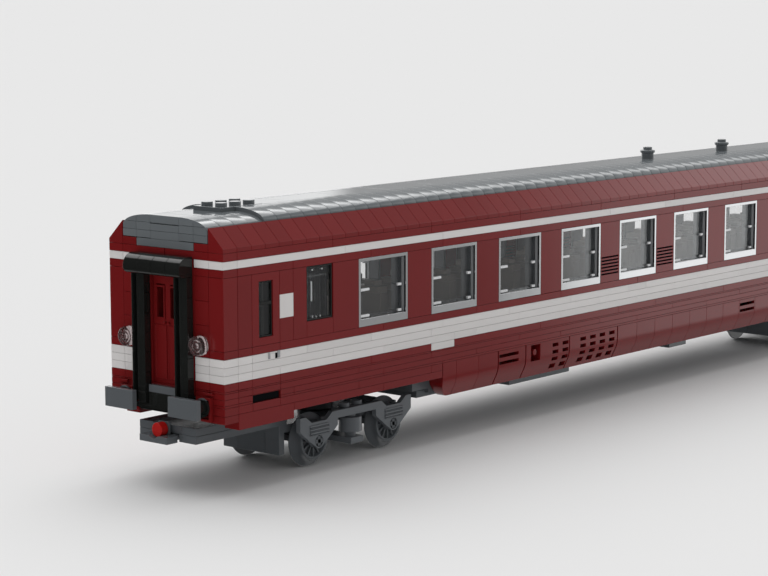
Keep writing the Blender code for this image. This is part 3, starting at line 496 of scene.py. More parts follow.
def mirrored(mesh, x=1, y=1):
    """A shape drawn at the near right corner, turned into the same shape at another corner."""
    bmesh.ops.transform(mesh, matrix=Matrix.Diagonal((x, y, 1, 1)), verts=mesh.verts)
    if x * y < 0:
        bmesh.ops.reverse_faces(mesh, faces=mesh.faces)
    return mesh


def copy_of(node):
    """A CAD node's solid with its loose triangles joined into flat faces."""
    mesh = bmesh.new()
    mesh.from_mesh(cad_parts[node].data)
    bmesh.ops.remove_doubles(mesh, verts=mesh.verts, dist=1e-5)
    bmesh.ops.dissolve_limit(mesh, angle_limit=math.radians(0.4), verts=mesh.verts, edges=mesh.edges)
    return paint(mesh)


def drawn_up(mesh, axes=(X, Z)):
    """Moves a wall's edges from the working gap out to the building grid, half a seam short of it."""
    half = settings()[1].seam / 2
    for axis in axes:
        unit, start = (STUD, -HALF_LENGTH) if axis == X else (PLATE, BODY_Z)
        for vert in mesh.verts:
            line = start + round((vert.co[axis] - start) / unit) * unit
            off = vert.co[axis] - line
            if WORKING_GAP[0] < abs(off) < WORKING_GAP[1]:
                vert.co[axis] = line + math.copysign(half, off)
    return mesh


def trim(mesh, axis, low=None, high=None):
    """Keeps what lies between two planes across an axis, and closes the cuts."""
    for place, turn in ((low, -1), (high, 1)):
        if place is None or not mesh.faces:
            continue
        point, normal = Vector(), Vector()
        point[axis], normal[axis] = place, turn
        everything = [*mesh.verts, *mesh.edges, *mesh.faces]
        made = bmesh.ops.bisect_plane(
            mesh, geom=everything, dist=1e-7, plane_co=point, plane_no=normal, clear_outer=True
        )
        rim = [item for item in made["geom_cut"] if isinstance(item, bmesh.types.BMEdge)]
        if rim:
            bmesh.ops.holes_fill(mesh, edges=rim, sides=0)
    return mesh


def slices(mesh, axis, places, gaps=None):
    """A solid cut into parts at places across an axis, a seam apart, or as far apart as gaps says."""
    limits = [None, *places, None]
    half = {place: (gaps or {}).get(place, settings()[1].seam) / 2 for place in places}
    parts = []
    for low, high in zip(limits, limits[1:]):
        start = None if low is None else low + half[low]
        end = None if high is None else high - half[high]
        part = trim(mesh.copy(), axis, start, end)
        if part.faces:
            bmesh.ops.recalc_face_normals(part, faces=part.faces)
            parts.append(paint(part))
        else:
            part.free()
    mesh.free()
    return parts


class Pile:
    """Bricks gathered into one piece."""

    def __init__(self):
        self.mesh = bmesh.new()
        self.mesh.faces.layers.float.new("tone")
        self.spare = bpy.data.meshes.new("spare")

    def put(self, *meshes):
        for mesh in meshes:
            mesh.to_mesh(self.spare)
            mesh.free()
            self.mesh.from_mesh(self.spare)
        return self

    def cut_rows(self, mesh, rows, corner=None):
        """Cuts a wall into rows, and each row at its seams. corner is where the end return meets the wall."""
        bounds = sorted({n for low, high, _ in rows for n in (low, high)})[1:-1]
        bands = slices(mesh, Z, levels(bounds))
        for band, (_, _, seams) in zip(bands, rows):
            for part in slices(band, X, studs(seams)):
                if corner is None:
                    self.put(part)
                else:
                    self.put(*slices(part, Y, [corner]))
        return self

    def piece(self, name, body, slot, nodes=(), finish=None, edge=None, segments=1):
        """The gathered bricks as one piece that rides on a body and stands for its CAD nodes."""
        data = bpy.data.meshes.new(name)
        self.mesh.to_mesh(data)
        self.mesh.free()
        bpy.data.meshes.remove(self.spare)
        # The CAD's normals and sharp edges don't fit the cut bricks
        for old in ("custom_normal", "sharp_edge"):
            if old in data.attributes:
                data.attributes.remove(data.attributes[old])
        data.materials.append(finish_of(finish or SLOT_FINISH[slot]))
        data.shade_smooth()
        made = bpy.data.objects.new(name, data)
        bpy.context.scene.collection.objects.link(made)
        width = settings()[1].edge if edge is None else edge
        if width:
            bevel = made.modifiers.new("edges", "BEVEL")
            bevel.width = width
            bevel.segments = segments
            bevel.limit_method = "ANGLE"
            bevel.angle_limit = math.radians(32)
            bevel.use_clamp_overlap = False
            bevel.loop_slide = False
            bevel.harden_normals = True
        else:
            data.set_sharp_from_angle(angle=math.radians(32))
        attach(made, body)
        if nodes:
            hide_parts(*nodes)
        return made


# The walls: each row is its low and high level, and its seams

SLOT_SPAN = (2, 4)
LOWER_ROWS = (
    (-1, 1, both_ends((1, 5, 12))),
    (1, 2, both_ends((1, 2, 4, 10, 16))),
    (2, 2.3, both_ends((1, 2, 4, 5, 12, 17))),
    (2.3, 3.04, both_ends((1, 2, 4, 5, 12, 20, 28, 36))),
    (3.04, 3.79, both_ends((1, 2, 4, 10, 16, 24, 32))),
    (3.79, 4, both_ends((1, 2, 4, 16, 18, 30))),
    (4, 5, both_ends((1, 2, 4, 11, 16, 18, 26, 34))),
)
LOW_BAND_ROWS = (
    (4, 5, both_ends(())),
    (5, 6, both_ends((1, 2, 4, 12, 18, 20, 28, 36))),
    (6, 7, both_ends((1, 2, 8, 16, 24, 32))),
    (7, 8, both_ends((1, 2, 4, 6, 11, 17, 23, 29, 35))),
)
WINDOW_ROWS = (
    (8, 9, both_ends((1, 2, 4, 12, 20, 28, 36))),
    (9, 18, both_ends((1, 2, 4, 5, 6, 8, 9.99, 14.01, 16, 20, 22, 26, 28, 32, 34))),
    (18, 19, both_ends((1, 5, 11, 17, 24, 31))),
)
HIGH_BAND_ROWS = ((19, 20, both_ends((1, 9, 17, 25, 33))),)
PANEL_GAP = 0.00004
SHELF_TILE = ((4, 5), (12, 15))
TILE_DEPTHS = (-0.00008, 0.0004)
# The clip on the lower band: each part's pile, its reach along the wall from a stud, its levels and its front
CLIP_STUD = 3
CLIP_PARTS = (
    ("tile", (0.0020, 0.0048), (7.10, 7.80), -0.0003),
    ("peg", (0.0063, 0.0077), (7.15, 8.05), -0.0003),
    ("peg", (0.0008, 0.0020), (7.15, 7.95), -0.0003),
    # The hollow part is a black square of painted shade in the clip's hollow
    ("hollow", (0.0048, 0.0063), (7.10, 7.80), -0.00005),
)
SLOT_LEVELS = (2, 3)
SLOT_DEPTHS = (0.0010, 0.00115)
LOUVRES = ((32, 34), (38, 40))
LOUVRE_LEVELS = (9.2, 13.4)
LOUVRE_DEPTHS = (0.0006, 0.0008)


def put_lower_wall(side, y):
    """Plates in rows from the bottom of the body to the lower band, and the valance over the bogie."""
    node = f"lower_wall_{side}"
    pile = Pile().cut_rows(drawn_up(copy_of(node)), LOWER_ROWS, across(1) * -y)
    pile.piece(f"lower_wall_bricks_{side}", "coach_body", "dark_red", [node])


def put_bands(side, y):
    """The two white bands."""
    low, high = f"band_low_{side}", f"band_high_{side}"
    Pile().cut_rows(drawn_up(copy_of(low)), LOW_BAND_ROWS, across(1) * -y).piece(
        f"lower_band_bricks_{side}", "coach_body", "white", [low]
    )
    Pile().cut_rows(drawn_up(copy_of(high)), HIGH_BAND_ROWS, across(1) * -y).piece(
        f"upper_band_tiles_{side}", "coach_body", "white", [high]
    )


def put_window_wall(side, y):
    """Wall panels between the windows, under a row of plates and over another."""
    node = f"window_wall_{side}"
    panel = trim(drawn_up(copy_of(node), (Z,)), X, along(1) + PANEL_GAP, along(LENGTH - 1) - PANEL_GAP)
    pile = Pile().cut_rows(panel, WINDOW_ROWS)
    for _, x in ENDS:
        for low, high, _ in WINDOW_ROWS:
            pile.put(mirrored(grid_box((0, 1), (0, 1), (low, high)), -x, -y))
    pile.piece(f"window_wall_panels_{side}", "coach_body", "dark_red", [node])
    piles = {"tile": Pile(), "peg": Pile(), "hollow": Pile()}
    for x in (1, -1):
        tile = wall_box(studs(SHELF_TILE[0]), TILE_DEPTHS, levels(SHELF_TILE[1]))
        piles["tile"].put(mirrored(tile, x, -y))
        for kind, reach, heights, front in CLIP_PARTS:
            part = wall_box([along(CLIP_STUD) + r for r in reach], (front, 0), levels(heights))
            piles[kind].put(mirrored(part, x, -y))
    piles["tile"].piece(f"white_tiles_{side}", "coach_body", "white")
    piles["peg"].piece(f"clip_pegs_{side}", "coach_body", "roof_grey", finish="rib grey plastic")
    # Black boxes of painted shade in the slot near each end and behind the louvre slits
    for x in (1, -1):
        slot = wall_box(studs(SLOT_SPAN), SLOT_DEPTHS, levels(SLOT_LEVELS))
        piles["hollow"].put(mirrored(slot, x, -y))
    for span in LOUVRES:
        slits = wall_box(studs(span), LOUVRE_DEPTHS, levels(LOUVRE_LEVELS))
        piles["hollow"].put(mirrored(slits, y=-y))
    piles["hollow"].piece(f"wall_painted_shade_{side}", "coach_body", "black", finish="painted shade black", edge=0)


def put_roof_side(side, y):
    """The row over the upper band, then a 45 degree slope made of one-stud pieces."""
    node = f"roof_side_{side}"
    row, slope = slices(drawn_up(copy_of(node), (Z,)), Z, [level(21)])
    pile = Pile()
    for part in slices(row, X, studs(both_ends((1, 8, 16, 24, 32)))):
        pile.put(*slices(part, Y, [across(1) * -y]))
    for part in slices(slope, X, studs(range(1, LENGTH))):
        pile.put(*slices(part, Y, [across(1) * -y]))
    pile.piece(f"slope_bricks_{side}", "coach_body", "dark_red", [node])


# Windows

FRAME_SIDE = 0.0014
FRAME_TOP = 0.0014
FRAME_SILL = 0.0032
# Each ring round a window's opening, from the wall's face inwards: how deep it ends, what it is made of, and
# how far its rim is set back
# The black rings are painted shade in the reveal, and the dark grey one is drawn lighter as painted fill
# light
REVEAL_RINGS = (
    (0.0003, "silver", 0),
    (0.0012, "black", 0.0005),
    (0.0024, "silver grey", 0),
    (0.0028, "black", 0.0003),
    (0.0080, "dark_grey", 0),
)
PANE = 0.0006
LEDGE_RISE = (-0.0002, 0.0001)
LUG_SPANS = ((0, 0.0070), (-0.0036, -0.0012))
LUG_HEIGHT = 0.0012
LUG_RISE = 0.0004
LUG_DEPTHS = (-0.0012, -0.0001)
NARROW_WINDOW = ((2.5, 3.5), (10, 17))
END_WINDOW = ((6, 8), (11, 18))
SMALL_RIMS = ((NARROW_WINDOW, 0.0005), (END_WINDOW, 0.0007))
RIM_DEPTHS = (0.0005, 0.0018)
SMALL_PANE_DEPTHS = (0.0010, 0.0014)
SHADE_BACK_SPAN = (0.6, 0.75)
CROSS_BAR = ((0.0004, 0.0016), (14.0, 14.4))
ROD_RADIUS = 0.0007
ROD_STEPS = 12
ROD_DEPTH = 0.0030
BAR_DEPTH = 0.0024
# Shares of the two-stud window's width
BAR_SHARES = (0.22, 0.42, 0.62, 0.85)
HEAD_GLINTS = (0.3, 0.7)
# Each glint on a bar: its share of the width, its level and its reach
BAR_GLINTS = ((0.26, 15.2, 0.0024), (0.30, 11.4, 0.0004), (0.46, 11.3, 0.0004), (0.62, 11.35, 0.0004))
GLINT_DEPTHS = (0.0016, 0.0020)


def window_opening(s, n, inset):
    """An opening's low X and Z and high X and Z, drawn in by inset."""
    return (along(s[0]) + inset, level(n[0]) + inset, along(s[1]) - inset, level(n[1]) - inset)


def put_windows(side, y):
    """The big windows: a silver face with a deep sill, a ribbed reveal with painted shade, a pane set back
    and white lugs as painted glints.
    """
    sizes = settings()[1]
    rings = {slot: Pile() for _, slot, _ in REVEAL_RINGS}
    panes, lugs = Pile(), Pile()
    glass = sizes.glass_depth
    for s in WINDOWS:
        outer = window_opening(s, WINDOW_LEVELS, sizes.seam)
        low, high = outer[0] + FRAME_SIDE, outer[2] - FRAME_SIDE
        sill, head = outer[1] + FRAME_SILL, outer[3] - FRAME_TOP
        front = 0
        for depth, slot, back in REVEAL_RINGS:
            rim = (low - back, sill - back, high + back, head + back)
            rings[slot].put(mirrored(ring(outer, rim, front - HALF_WIDTH, depth - HALF_WIDTH), y=-y))
            front = depth
        panes.put(mirrored(wall_box((low, high), (glass, glass + PANE), (sill, head)), y=-y))
        ledge = wall_box((low, high), (REVEAL_RINGS[0][0], glass), [sill + rise for rise in LEDGE_RISE])
        rings["silver"].put(mirrored(ledge, y=-y))
        # White lugs on the pane's clips, drawn bright as painted glints
        for x, span in zip((low, high), LUG_SPANS):
            for z in (sill + LUG_RISE, (sill + head - LUG_HEIGHT) / 2):
                depths = [glass + depth for depth in LUG_DEPTHS]
                lug = wall_box([x + reach for reach in span], depths, (z, z + LUG_HEIGHT))
                lugs.put(mirrored(lug, y=-y))
    nodes = [f"window_{side}_{number}" for number in range(1, len(WINDOWS) + 1)]
    rings["silver"].piece(f"window_frames_{side}", "coach_body", "silver", nodes, edge=0.0001)
    # Painted shade in the reveal's grooves, and painted fill light on the reveals
    rings["black"].piece(f"window_painted_shade_grooves_{side}", "coach_body", "black", finish="painted shade black", edge=0)
    ribs, reveals = rings["silver grey"], rings["dark_grey"]
    ribs.piece(f"window_ribs_{side}", "coach_body", "silver", finish="rib grey plastic", edge=0)
    reveals.piece(f"window_reveals_{side}", "coach_body", "dark_grey", finish="dark grey with painted fill light", edge=0)
    panes.piece(f"window_panes_{side}", "coach_body", "clear", [f"glazing_{side}"], edge=0)
    lugs.piece(f"window_glint_lugs_{side}", "coach_body", "clear", finish="painted glint white", edge=0.0002)


def put_small_windows(side, y):
    """The narrow window and the two-stud one near each end, with their bars, painted glints on them, and
    black backs of painted shade.
    """
    rims, bars, panes, backs, glints = Pile(), Pile(), Pile(), Pile(), Pile()
    front, back = (depth - HALF_WIDTH for depth in RIM_DEPTHS)
    for x in (1, -1):
        for (s, n), rim in SMALL_RIMS:
            outer = window_opening(s, n, 0.0001)
            inner = (outer[0] + rim, outer[1] + rim, outer[2] - rim, outer[3] - rim)
            rims.put(mirrored(ring(outer, inner, front, back), x, -y))
            pane = wall_box((inner[0], inner[2]), SMALL_PANE_DEPTHS, (inner[1], inner[3]))
            panes.put(mirrored(pane, x, -y))
        s, n = NARROW_WINDOW
        low, _, high, _ = window_opening(s, n, 0.0004)
        rims.put(mirrored(wall_box((low, high), CROSS_BAR[0], levels(CROSS_BAR[1])), x, -y))
        place = (low * 0.4 + high * 0.6, ROD_DEPTH - HALF_WIDTH, level(sum(n) / 2))
        rims.put(mirrored(rod(place, ROD_RADIUS, (n[1] - n[0]) * PLATE, steps=ROD_STEPS), x, -y))
        # Black backs of painted shade behind the small windows
        backs.put(mirrored(grid_box((s[0] - 0.4, s[1] + 0.4), SHADE_BACK_SPAN, (n[0] - 0.8, n[1] + 0.8)), x, -y))
        s, n = END_WINDOW
        low, bottom, high, top = window_opening(s, n, 0.0007)
        for share in BAR_SHARES:
            place = (low + (high - low) * share, BAR_DEPTH - HALF_WIDTH, (bottom + top) / 2)
            bars.put(mirrored(rod(place, ROD_RADIUS, top - bottom, steps=ROD_STEPS), x, -y))
        bars.put(mirrored(wall_box((low, high), (0.0018, 0.0026), (top - 0.0042, top - 0.0034)), x, -y))
        for share, n_glint, reach in BAR_GLINTS:
            spot, z = low + (high - low) * share, level(n_glint)
            lit = wall_box((spot, spot + 0.0004), GLINT_DEPTHS, (z - 2.4 * reach, z + reach))
            glints.put(mirrored(lit, x, -y))
        for share in HEAD_GLINTS:
            spot = low + (high - low) * share
            lit = wall_box((spot, spot + 0.0005), GLINT_DEPTHS, (top - 0.0016, top - 0.0010))
            glints.put(mirrored(lit, x, -y))
        backs.put(mirrored(grid_box((s[0] - 0.2, s[1] + 0.2), SHADE_BACK_SPAN, (n[0] - 1, n[1] + 0.8)), x, -y))
    rims.piece(f"small_window_rims_{side}", "coach_body", "black", edge=0.0001)
    glints.piece(f"small_window_glints_{side}", "coach_body", "clear", finish="painted glint white", edge=0)
    bars.piece(f"small_window_bars_{side}", "coach_body", "clear", finish="clear bar")
    panes.piece(f"small_window_panes_{side}", "coach_body", "clear", finish="small pane", edge=0)
    backs.piece(f"small_window_painted_shade_backs_{side}", "coach_body", "black", finish="painted shade black", edge=0)


# The skirts

SKIRT_SEAMS = (18.2, 20.2, 22, 24.6, 28.9, 33.9, *range(36, 55, 2))
OPEN_SEAMS = (22, 24.6, 28.9, 33.9)
OPEN_SEAM = 0.0006
SKIRT_TOP = 2
SKIRT_BEND = -1.95
SKIRT_FOOT = -2.95
COCK_S = 25.55
COCK_LEVEL = 0.7
COCK_PROFILE = ((0, -0.0030), (0.0013, -0.0030), (0.0015, -0.0028), (0.0015, 0.001), (0, 0.001))


def put_skirt(side, y):
    """The skirt cut at its seams, and the round cock in its port."""
    node = f"skirt_{side}"
    skirt = copy_of(node)
    top, bend = max(vert.co.z for vert in skirt.verts), level(SKIRT_BEND)
    bottom = min(vert.co.z for vert in skirt.verts)
    for vert in skirt.verts:
        if vert.co.z > top - 0.0001:
            vert.co.z = level(SKIRT_TOP) - settings()[1].seam / 2
        elif vert.co.z < bend:
            vert.co.z = bend + (vert.co.z - bend) * (level(SKIRT_FOOT) - bend) / (bottom - bend)
    gaps = {along(s): OPEN_SEAM for s in OPEN_SEAMS}
    pile = Pile().put(*slices(skirt, X, studs(SKIRT_SEAMS), gaps))
    pile.piece(f"skirt_panels_{side}", "coach_body", "dark_red", [node])
    cock = turned(COCK_PROFILE, (along(COCK_S), -HALF_WIDTH + 0.0035, level(COCK_LEVEL)), "Y", 24)
    eye = rod((along(COCK_S), -HALF_WIDTH + 0.0006, level(COCK_LEVEL)), 0.0006, 0.0003, "Y", 16)
    whole = Pile().put(mirrored(cock, y=-y), mirrored(eye, y=-y))
    whole.piece(f"skirt_cock_{side}", "coach_body", "dark_red")


# The roof

ARCH_S = 4
ROOF_END = (23.5, 25)
ROOF_MAIN = (24, 25.5)
ROOF_UNDERSIDE = 22
ROOF_CURVE_STEPS = 14
SHOULDER_INSET = 0.0003
END_SHOULDERS = ((1, 2), (2, 4))
END_COURSES = ((22, 23), (23, 23.88), (24, 25))
LID_LEVELS = (23.88, 24)
LID_BACK = 0.0006
STUD_PLATE = ((3, 6), (24.5, 25.5))
STUD_PLATE_PROUD = 0.0001
VENT_SPOTS = (43, 52)
VENT_PROFILE = (
    (0, -0.0005),
    (0.0031, -0.0005),
    (0.0031, 0.0027),
    (0.0036, 0.0030),
    (0.0038, 0.0033),
    (0.0038, 0.0039),
    (0.0035, 0.0042),
    (0.0024, 0.0043),
    (0.0023, 0.0045),
    (0.0023, 0.0056),
    (0.0021, 0.0058),
    (0, 0.0058),
)


def shoulder_outline(edge, top):
    """One side of the roof, from the slope to the flat crown."""
    reach = HALF_WIDTH - STUD - SHOULDER_INSET - STUD
    rise = (top - edge) * PLATE
    turns = [math.pi / 2 * i / ROOF_CURVE_STEPS for i in range(ROOF_CURVE_STEPS + 1)]
    curve = [(-STUD - reach * math.sin(t), level(edge) + rise * math.cos(t)) for t in turns]
    foot = level(ROOF_UNDERSIDE) + 0.0002
    return [*curve, (-STUD - reach, foot), (-STUD, foot)]


def put_roof():
    """Curved one-stud shoulders beside a flat crown, longer ones at the ends, and the end plates."""
    gap = settings()[1].seam / 2
    pile, shoulders = Pile(), Pile()
    for _, y in SIDES:
        for s in range(ARCH_S, LENGTH - ARCH_S):
            part = prism(shoulder_outline(*ROOF_MAIN), along(s) + gap, along(s + 1) - gap)
            shoulders.put(mirrored(part, y=-y))
        for _, x in ENDS:
            for low, high in END_SHOULDERS:
                part = prism(shoulder_outline(*ROOF_END), along(low) + gap, along(high) - gap)
                shoulders.put(mirrored(part, -x, -y))
            end = prism(shoulder_outline(*ROOF_END), -HALF_LENGTH, along(1) - gap)
            for band in slices(end, Z, levels((23, 24))):
                pile.put(*[mirrored(part, -x, -y) for part in slices(band, Y, [across(2)])])
    for s in range(ARCH_S, LENGTH - ARCH_S, 4):
        pile.put(grid_box((s, s + 4), (3, 5), (ROOF_UNDERSIDE, ROOF_MAIN[1])))
    for _, x in ENDS:
        pile.put(mirrored(grid_box((1, ARCH_S), (3, 5), (ROOF_UNDERSIDE, ROOF_END[1])), -x))
        for low, high in END_COURSES:
            course = box((-HALF_LENGTH, -STUD, level(low) + gap), (along(1) - gap, STUD, level(high) - gap))
            pile.put(mirrored(course, -x))
        bottom, top = levels(LID_LEVELS)
        lid = box((-HALF_LENGTH + LID_BACK, -STUD, bottom), (along(1) - gap, STUD, top))
        pile.put(mirrored(lid, -x))
        edge = across(2) + 2 * gap
        row = box((-HALF_LENGTH, edge, level(21) + gap), (along(1), -edge, level(22) - gap))
        pile.put(mirrored(row, -x))
        (start, end), (bottom, top) = studs(STUD_PLATE[0]), levels(STUD_PLATE[1])
        plate = box((start, -STUD, bottom), (end, STUD, top + STUD_PLATE_PROUD))
        pile.put(mirrored(plate, -x))
        for s in (3.5, 4.5, 5.5):
            for y in (-STUD / 2, STUD / 2):
                place = (along(s), y, level(ROOF_MAIN[1]) + STUD_HEIGHT / 2)
                pile.put(mirrored(rod(place, STUD_RADIUS, STUD_HEIGHT), -x))
    for s in VENT_SPOTS:
        pile.put(turned(VENT_PROFILE, (along(s), 0, level(ROOF_MAIN[1])), "Z"))
    pile.piece("roof_bricks", "coach_body", "roof_grey", ["roof"], edge=0.00018, segments=2)
    shoulders.piece(
        "roof_shoulders", "coach_body", "roof_grey", finish="roof curve plastic", edge=0.00018, segments=2
    )


# Inside

SEAT_SPANS = ((1.9, 3.5), (4.5, 6.1))
SEAT_FLOOR = ((9, 63), (1.5, 6.5), (FLOOR_TOP, 2.2))
# Each part of a seat, from the floor up: its reach from the middle of the window, its levels, its side inset
SEAT_PARTS = (
    ((1.2, 2.6), (2.2, 4.6), 0),
    ((1.1, 2.4), (4.6, 5.4), 0),
    ((2.0, 2.6), (5.4, 9.4), 0),
    ((1.95, 2.6), (9.4, 12.0), 0),
    ((1.8, 2.6), (12.0, 12.9), 0),
    ((2.0, 2.6), (12.9, 13.6), 0.4),
)


def put_seats():
    """Facing pairs of brick seats on a floor plate, a pair on each side of every window's middle."""
    pile = Pile()
    for s in range(*SEAT_FLOOR[0], 6):
        pile.put(grid_box((s, s + 6), *SEAT_FLOOR[1:]))
    for low, high in WINDOWS:
        middle = (low + high) / 2
        for facing in (-1, 1):
            for u in SEAT_SPANS:
                for reach, n, inset in SEAT_PARTS:
                    s = sorted(middle + facing * r for r in reach)
                    pile.put(grid_box(s, (u[0] + inset, u[1] - inset), n))
    pile.piece("seat_bricks", "coach_body", "seat_grey", ["seats"], edge=0.0003, segments=2)


# The ends

HEAD_LEVEL = 17.8
DOOR_DEPTH = 0.0012
DOOR_LIGHTS = ((3.2, 3.85), (4.15, 4.8))
DOOR_LIGHT_LEVELS = (12, 16.3)
DOOR_LIGHT_FRAME = (0.0008, 0.0009)
LEAVES = ((3.12, 3.94), (4.06, 4.88))
LEAF_LEVELS = (4.5, 11.3)
KNOBS = (3.86, 4.14)
KNOB_LEVEL = 11.6
KNOB_PROFILE = ((0, -0.0012), (0.0005, -0.0010), (0.0006, -0.0006), (0.0003, 0), (0, 0))
SILL_PROUD = 0.0027
STEP_LEVEL = 2.85
BUFFER_REACH = (0.0094, 0.0070)
BUFFER_PLATE = ((0.75, 2.75), (0.7, 3.2))
BUFFER_STEM = (1.25, 1.95)
BRACKET = ((0.75, 1.75), (0.2, 3.2))
BRACKET_FRAME = 0.0010
HANDLE = ((0.7, 1.3), (3.45, 3.8))
LAMP_RADIUS = 0.0039
LAMP_DEPTH = 0.0036
LAMP_PLACE = (1.5, 9.5)
# Each point of a lamp's profile: a share of its radius and of its depth
LAMP_PROFILE = (
    (0, 0),
    (1, 0),
    (1, 0.86),
    (0.97, 0.95),
    (0.88, 1),
    (0.80, 0.97),
    (0.74, 0.80),
    (0.66, 0.80),
    (0.60, 0.92),
    (0.50, 0.92),
    (0.44, 0.80),
    (0.34, 0.80),
    (0.22, 0.93),
    (0, 0.96),
)


def end_ring(outer, inner, depths, face):
    """A frame on the near end's wall. Each opening is its low Y and Z and its high Y and Z."""
    made = ring(outer, inner, *depths)
    bmesh.ops.rotate(made, matrix=Matrix.Rotation(math.pi / 2, 3, "Z"), verts=made.verts)
    bmesh.ops.scale(made, vec=(-1, 1, 1), verts=made.verts)
    bmesh.ops.translate(made, vec=(face, 0, 0), verts=made.verts)
    bmesh.ops.recalc_face_normals(made, faces=made.faces)
    return made


def put_gangway(end):
    """The black surround: the head in round bricks, the columns in bricks of two and a half plates."""
    node = f"gangway_{end}"
    columns, head = slices(copy_of(node), Z, [level(HEAD_LEVEL)])
    pile = Pile().put(*slices(head, Y, [across(u) for u in (3, 4, 5)]))
    for part in slices(columns, Z, [level(0.3 + 2.5 * i) for i in range(1, 7)]):
        pile.put(*slices(part, Y, [0]))
    pile.piece(f"gangway_bricks_{end}", "coach_body", "black", [node], edge=0.0002, segments=2)


def put_end_door(end, x):
    """The end wall with its double door: framed lights, a raised lower panel to each leaf, and knobs."""
    node = f"end_door_{end}"
    gap = settings()[1].seam / 2
    wall = trim(copy_of(node), Y, across(1) + gap, -across(1) - gap)
    pile = Pile()
    for part in slices(wall, Y, [across(u) for u in (2, 3, 5, 6)]):
        outside = max(abs(vert.co.y) for vert in part.verts) > -across(2)
        pile.put(*slices(part, Z, levels((9, 12, 15, 18))) if outside else [part])
    face = -HALF_LENGTH + DOOR_DEPTH
    side, rail = DOOR_LIGHT_FRAME
    bottom, top = levels(DOOR_LIGHT_LEVELS)
    for low, high in DOOR_LIGHTS:
        outer = (across(low), bottom, across(high), top)
        inner = (outer[0] + side, bottom + rail, outer[2] - side, top - rail)
        pile.put(mirrored(end_ring(outer, inner, (-0.0005, 0.0006), face), -x))
    bottom, top = levels(LEAF_LEVELS)
    for low, high in LEAVES:
        leaf = box((face - 0.0004, across(low), bottom), (face + 0.0005, across(high), top))
        front = min(leaf.faces, key=lambda f: f.calc_center_median().x)
        bmesh.ops.inset_region(leaf, faces=[front], thickness=0.0006, depth=-0.0003)
        pile.put(mirrored(leaf, -x))
    for u in KNOBS:
        pile.put(mirrored(turned(KNOB_PROFILE, (face, across(u), level(KNOB_LEVEL)), "X", 16), -x))
    pile.piece(f"end_door_bricks_{end}", "coach_body", "dark_red", [node])


def put_end_sill(end, x):
    """The sill, step and buffers, with the red bracket behind each buffer and the grab handle over it."""
    node = f"end_sill_{end}"
    whole = copy_of(node)
    if x > 0:
        mirrored(whole, x=-1)
    sill = trim(whole, X, low=-HALF_LENGTH - SILL_PROUD)
    low_part, step = slices(sill, Z, [level(STEP_LEVEL)])
    riser, rest = slices(low_part, X, [-HALF_LENGTH])
    Pile().put(mirrored(step, -x)).piece(
        f"end_sill_step_{end}", "coach_body", "dark_grey", [node], "step grey plastic", 0.0002, 2
    )
    # Below the step the sill is drawn black, like the buffer stems
    plates, dark = Pile(), Pile()
    dark.put(mirrored(riser, -x), mirrored(rest, -x))
    face = -HALF_LENGTH
    front, back = (face - reach for reach in BUFFER_REACH)
    for _, y in SIDES:
        (near_u, far_u), (bottom, top) = BUFFER_PLATE
        plate = box((front, across(near_u), level(bottom)), (back, across(far_u), level(top)))
        plates.put(mirrored(plate, -x, -y))
        u, n = BUFFER_STEM
        stem = rod(((back + face) / 2, across(u), level(n)), 0.0024, face - back, "X", 24)
        dark.put(mirrored(stem, -x, -y))
    plates.piece(f"buffer_plates_{end}", "coach_body", "dark_grey", edge=0.0002, segments=2)
    dark.piece(f"end_sill_riser_{end}", "coach_body", "black", edge=0.0002, segments=2)
    brackets = Pile()
    for _, y in SIDES:
        (near_u, far_u), (bottom, top) = BRACKET
        outer = (across(near_u), level(bottom), across(far_u), level(top))
        inner = [edge + turn * BRACKET_FRAME for edge, turn in zip(outer, (1, 1, -1, -1))]
        brackets.put(mirrored(end_ring(outer, inner, (-0.0019, 0), face), -x, -y))
        (near_u, far_u), (bottom, top) = HANDLE
        handle = box((face - 0.0012, across(near_u), level(bottom)), (face, across(far_u), level(top)))
        brackets.put(mirrored(handle, -x, -y))
    brackets.piece(f"buffer_brackets_{end}", "coach_body", "dark_red")


def put_lamps(end, x):
    """Clear round lamps, ringed inside."""
    profile = [(LAMP_RADIUS * radius, -LAMP_DEPTH * depth) for radius, depth in LAMP_PROFILE]
    u, n = LAMP_PLACE
    for side, y in SIDES:
        lamp = turned(profile, (-HALF_LENGTH - 0.0003, across(u), level(n)), "X", 48)
        Pile().put(mirrored(lamp, -x, -y)).piece(
            f"lamp_lens_{end}_{side}", "coach_body", "clear", [f"lamp_{end}_{side}"], "lamp lens", 0
        )


FLOOR_SEAMS = range(8, LENGTH, 8)
TROUGH_SEAMS = (22, 28, 36, 44, 50)
# The block behind each bogie, in two layers of plates
BLOCK_SPAN = ((16.3, 18.4), (1.3, 6.7))
BLOCK_LAYERS = ((-3, -2), (-2, -1.85))


def put_under():
    """The floor, and the trough with its boxes and a block behind each bogie."""
    floor = Pile().put(*slices(copy_of("underframe"), X, studs(FLOOR_SEAMS)))
    floor.piece("floor_plates", "coach_body", "dark_grey", ["underframe"])
    trough = Pile().put(*slices(copy_of("underfloor"), X, studs(TROUGH_SEAMS)))
    for x in (1, -1):
        for n in BLOCK_LAYERS:
            trough.put(mirrored(grid_box(*BLOCK_SPAN, n), x))
    trough.piece("trough_bricks", "coach_body", "dark_grey", ["underfloor"])


# Bogies

AXLE_SPREAD = 0.048
FLANGE_RADIUS = 0.0114
BOGIE_S = 11
BOGIE_HALF = 0.024
TONGUE_SEAM = -0.0067
WHEEL_OUTER = 0.0212
WHEEL_INNER = 0.0166
SPOKES = 12
RIB_LEVELS = (-0.01155, -0.01305, -0.01455)
RIB_HALF = (0.0060, 0.0005, 0.0002)
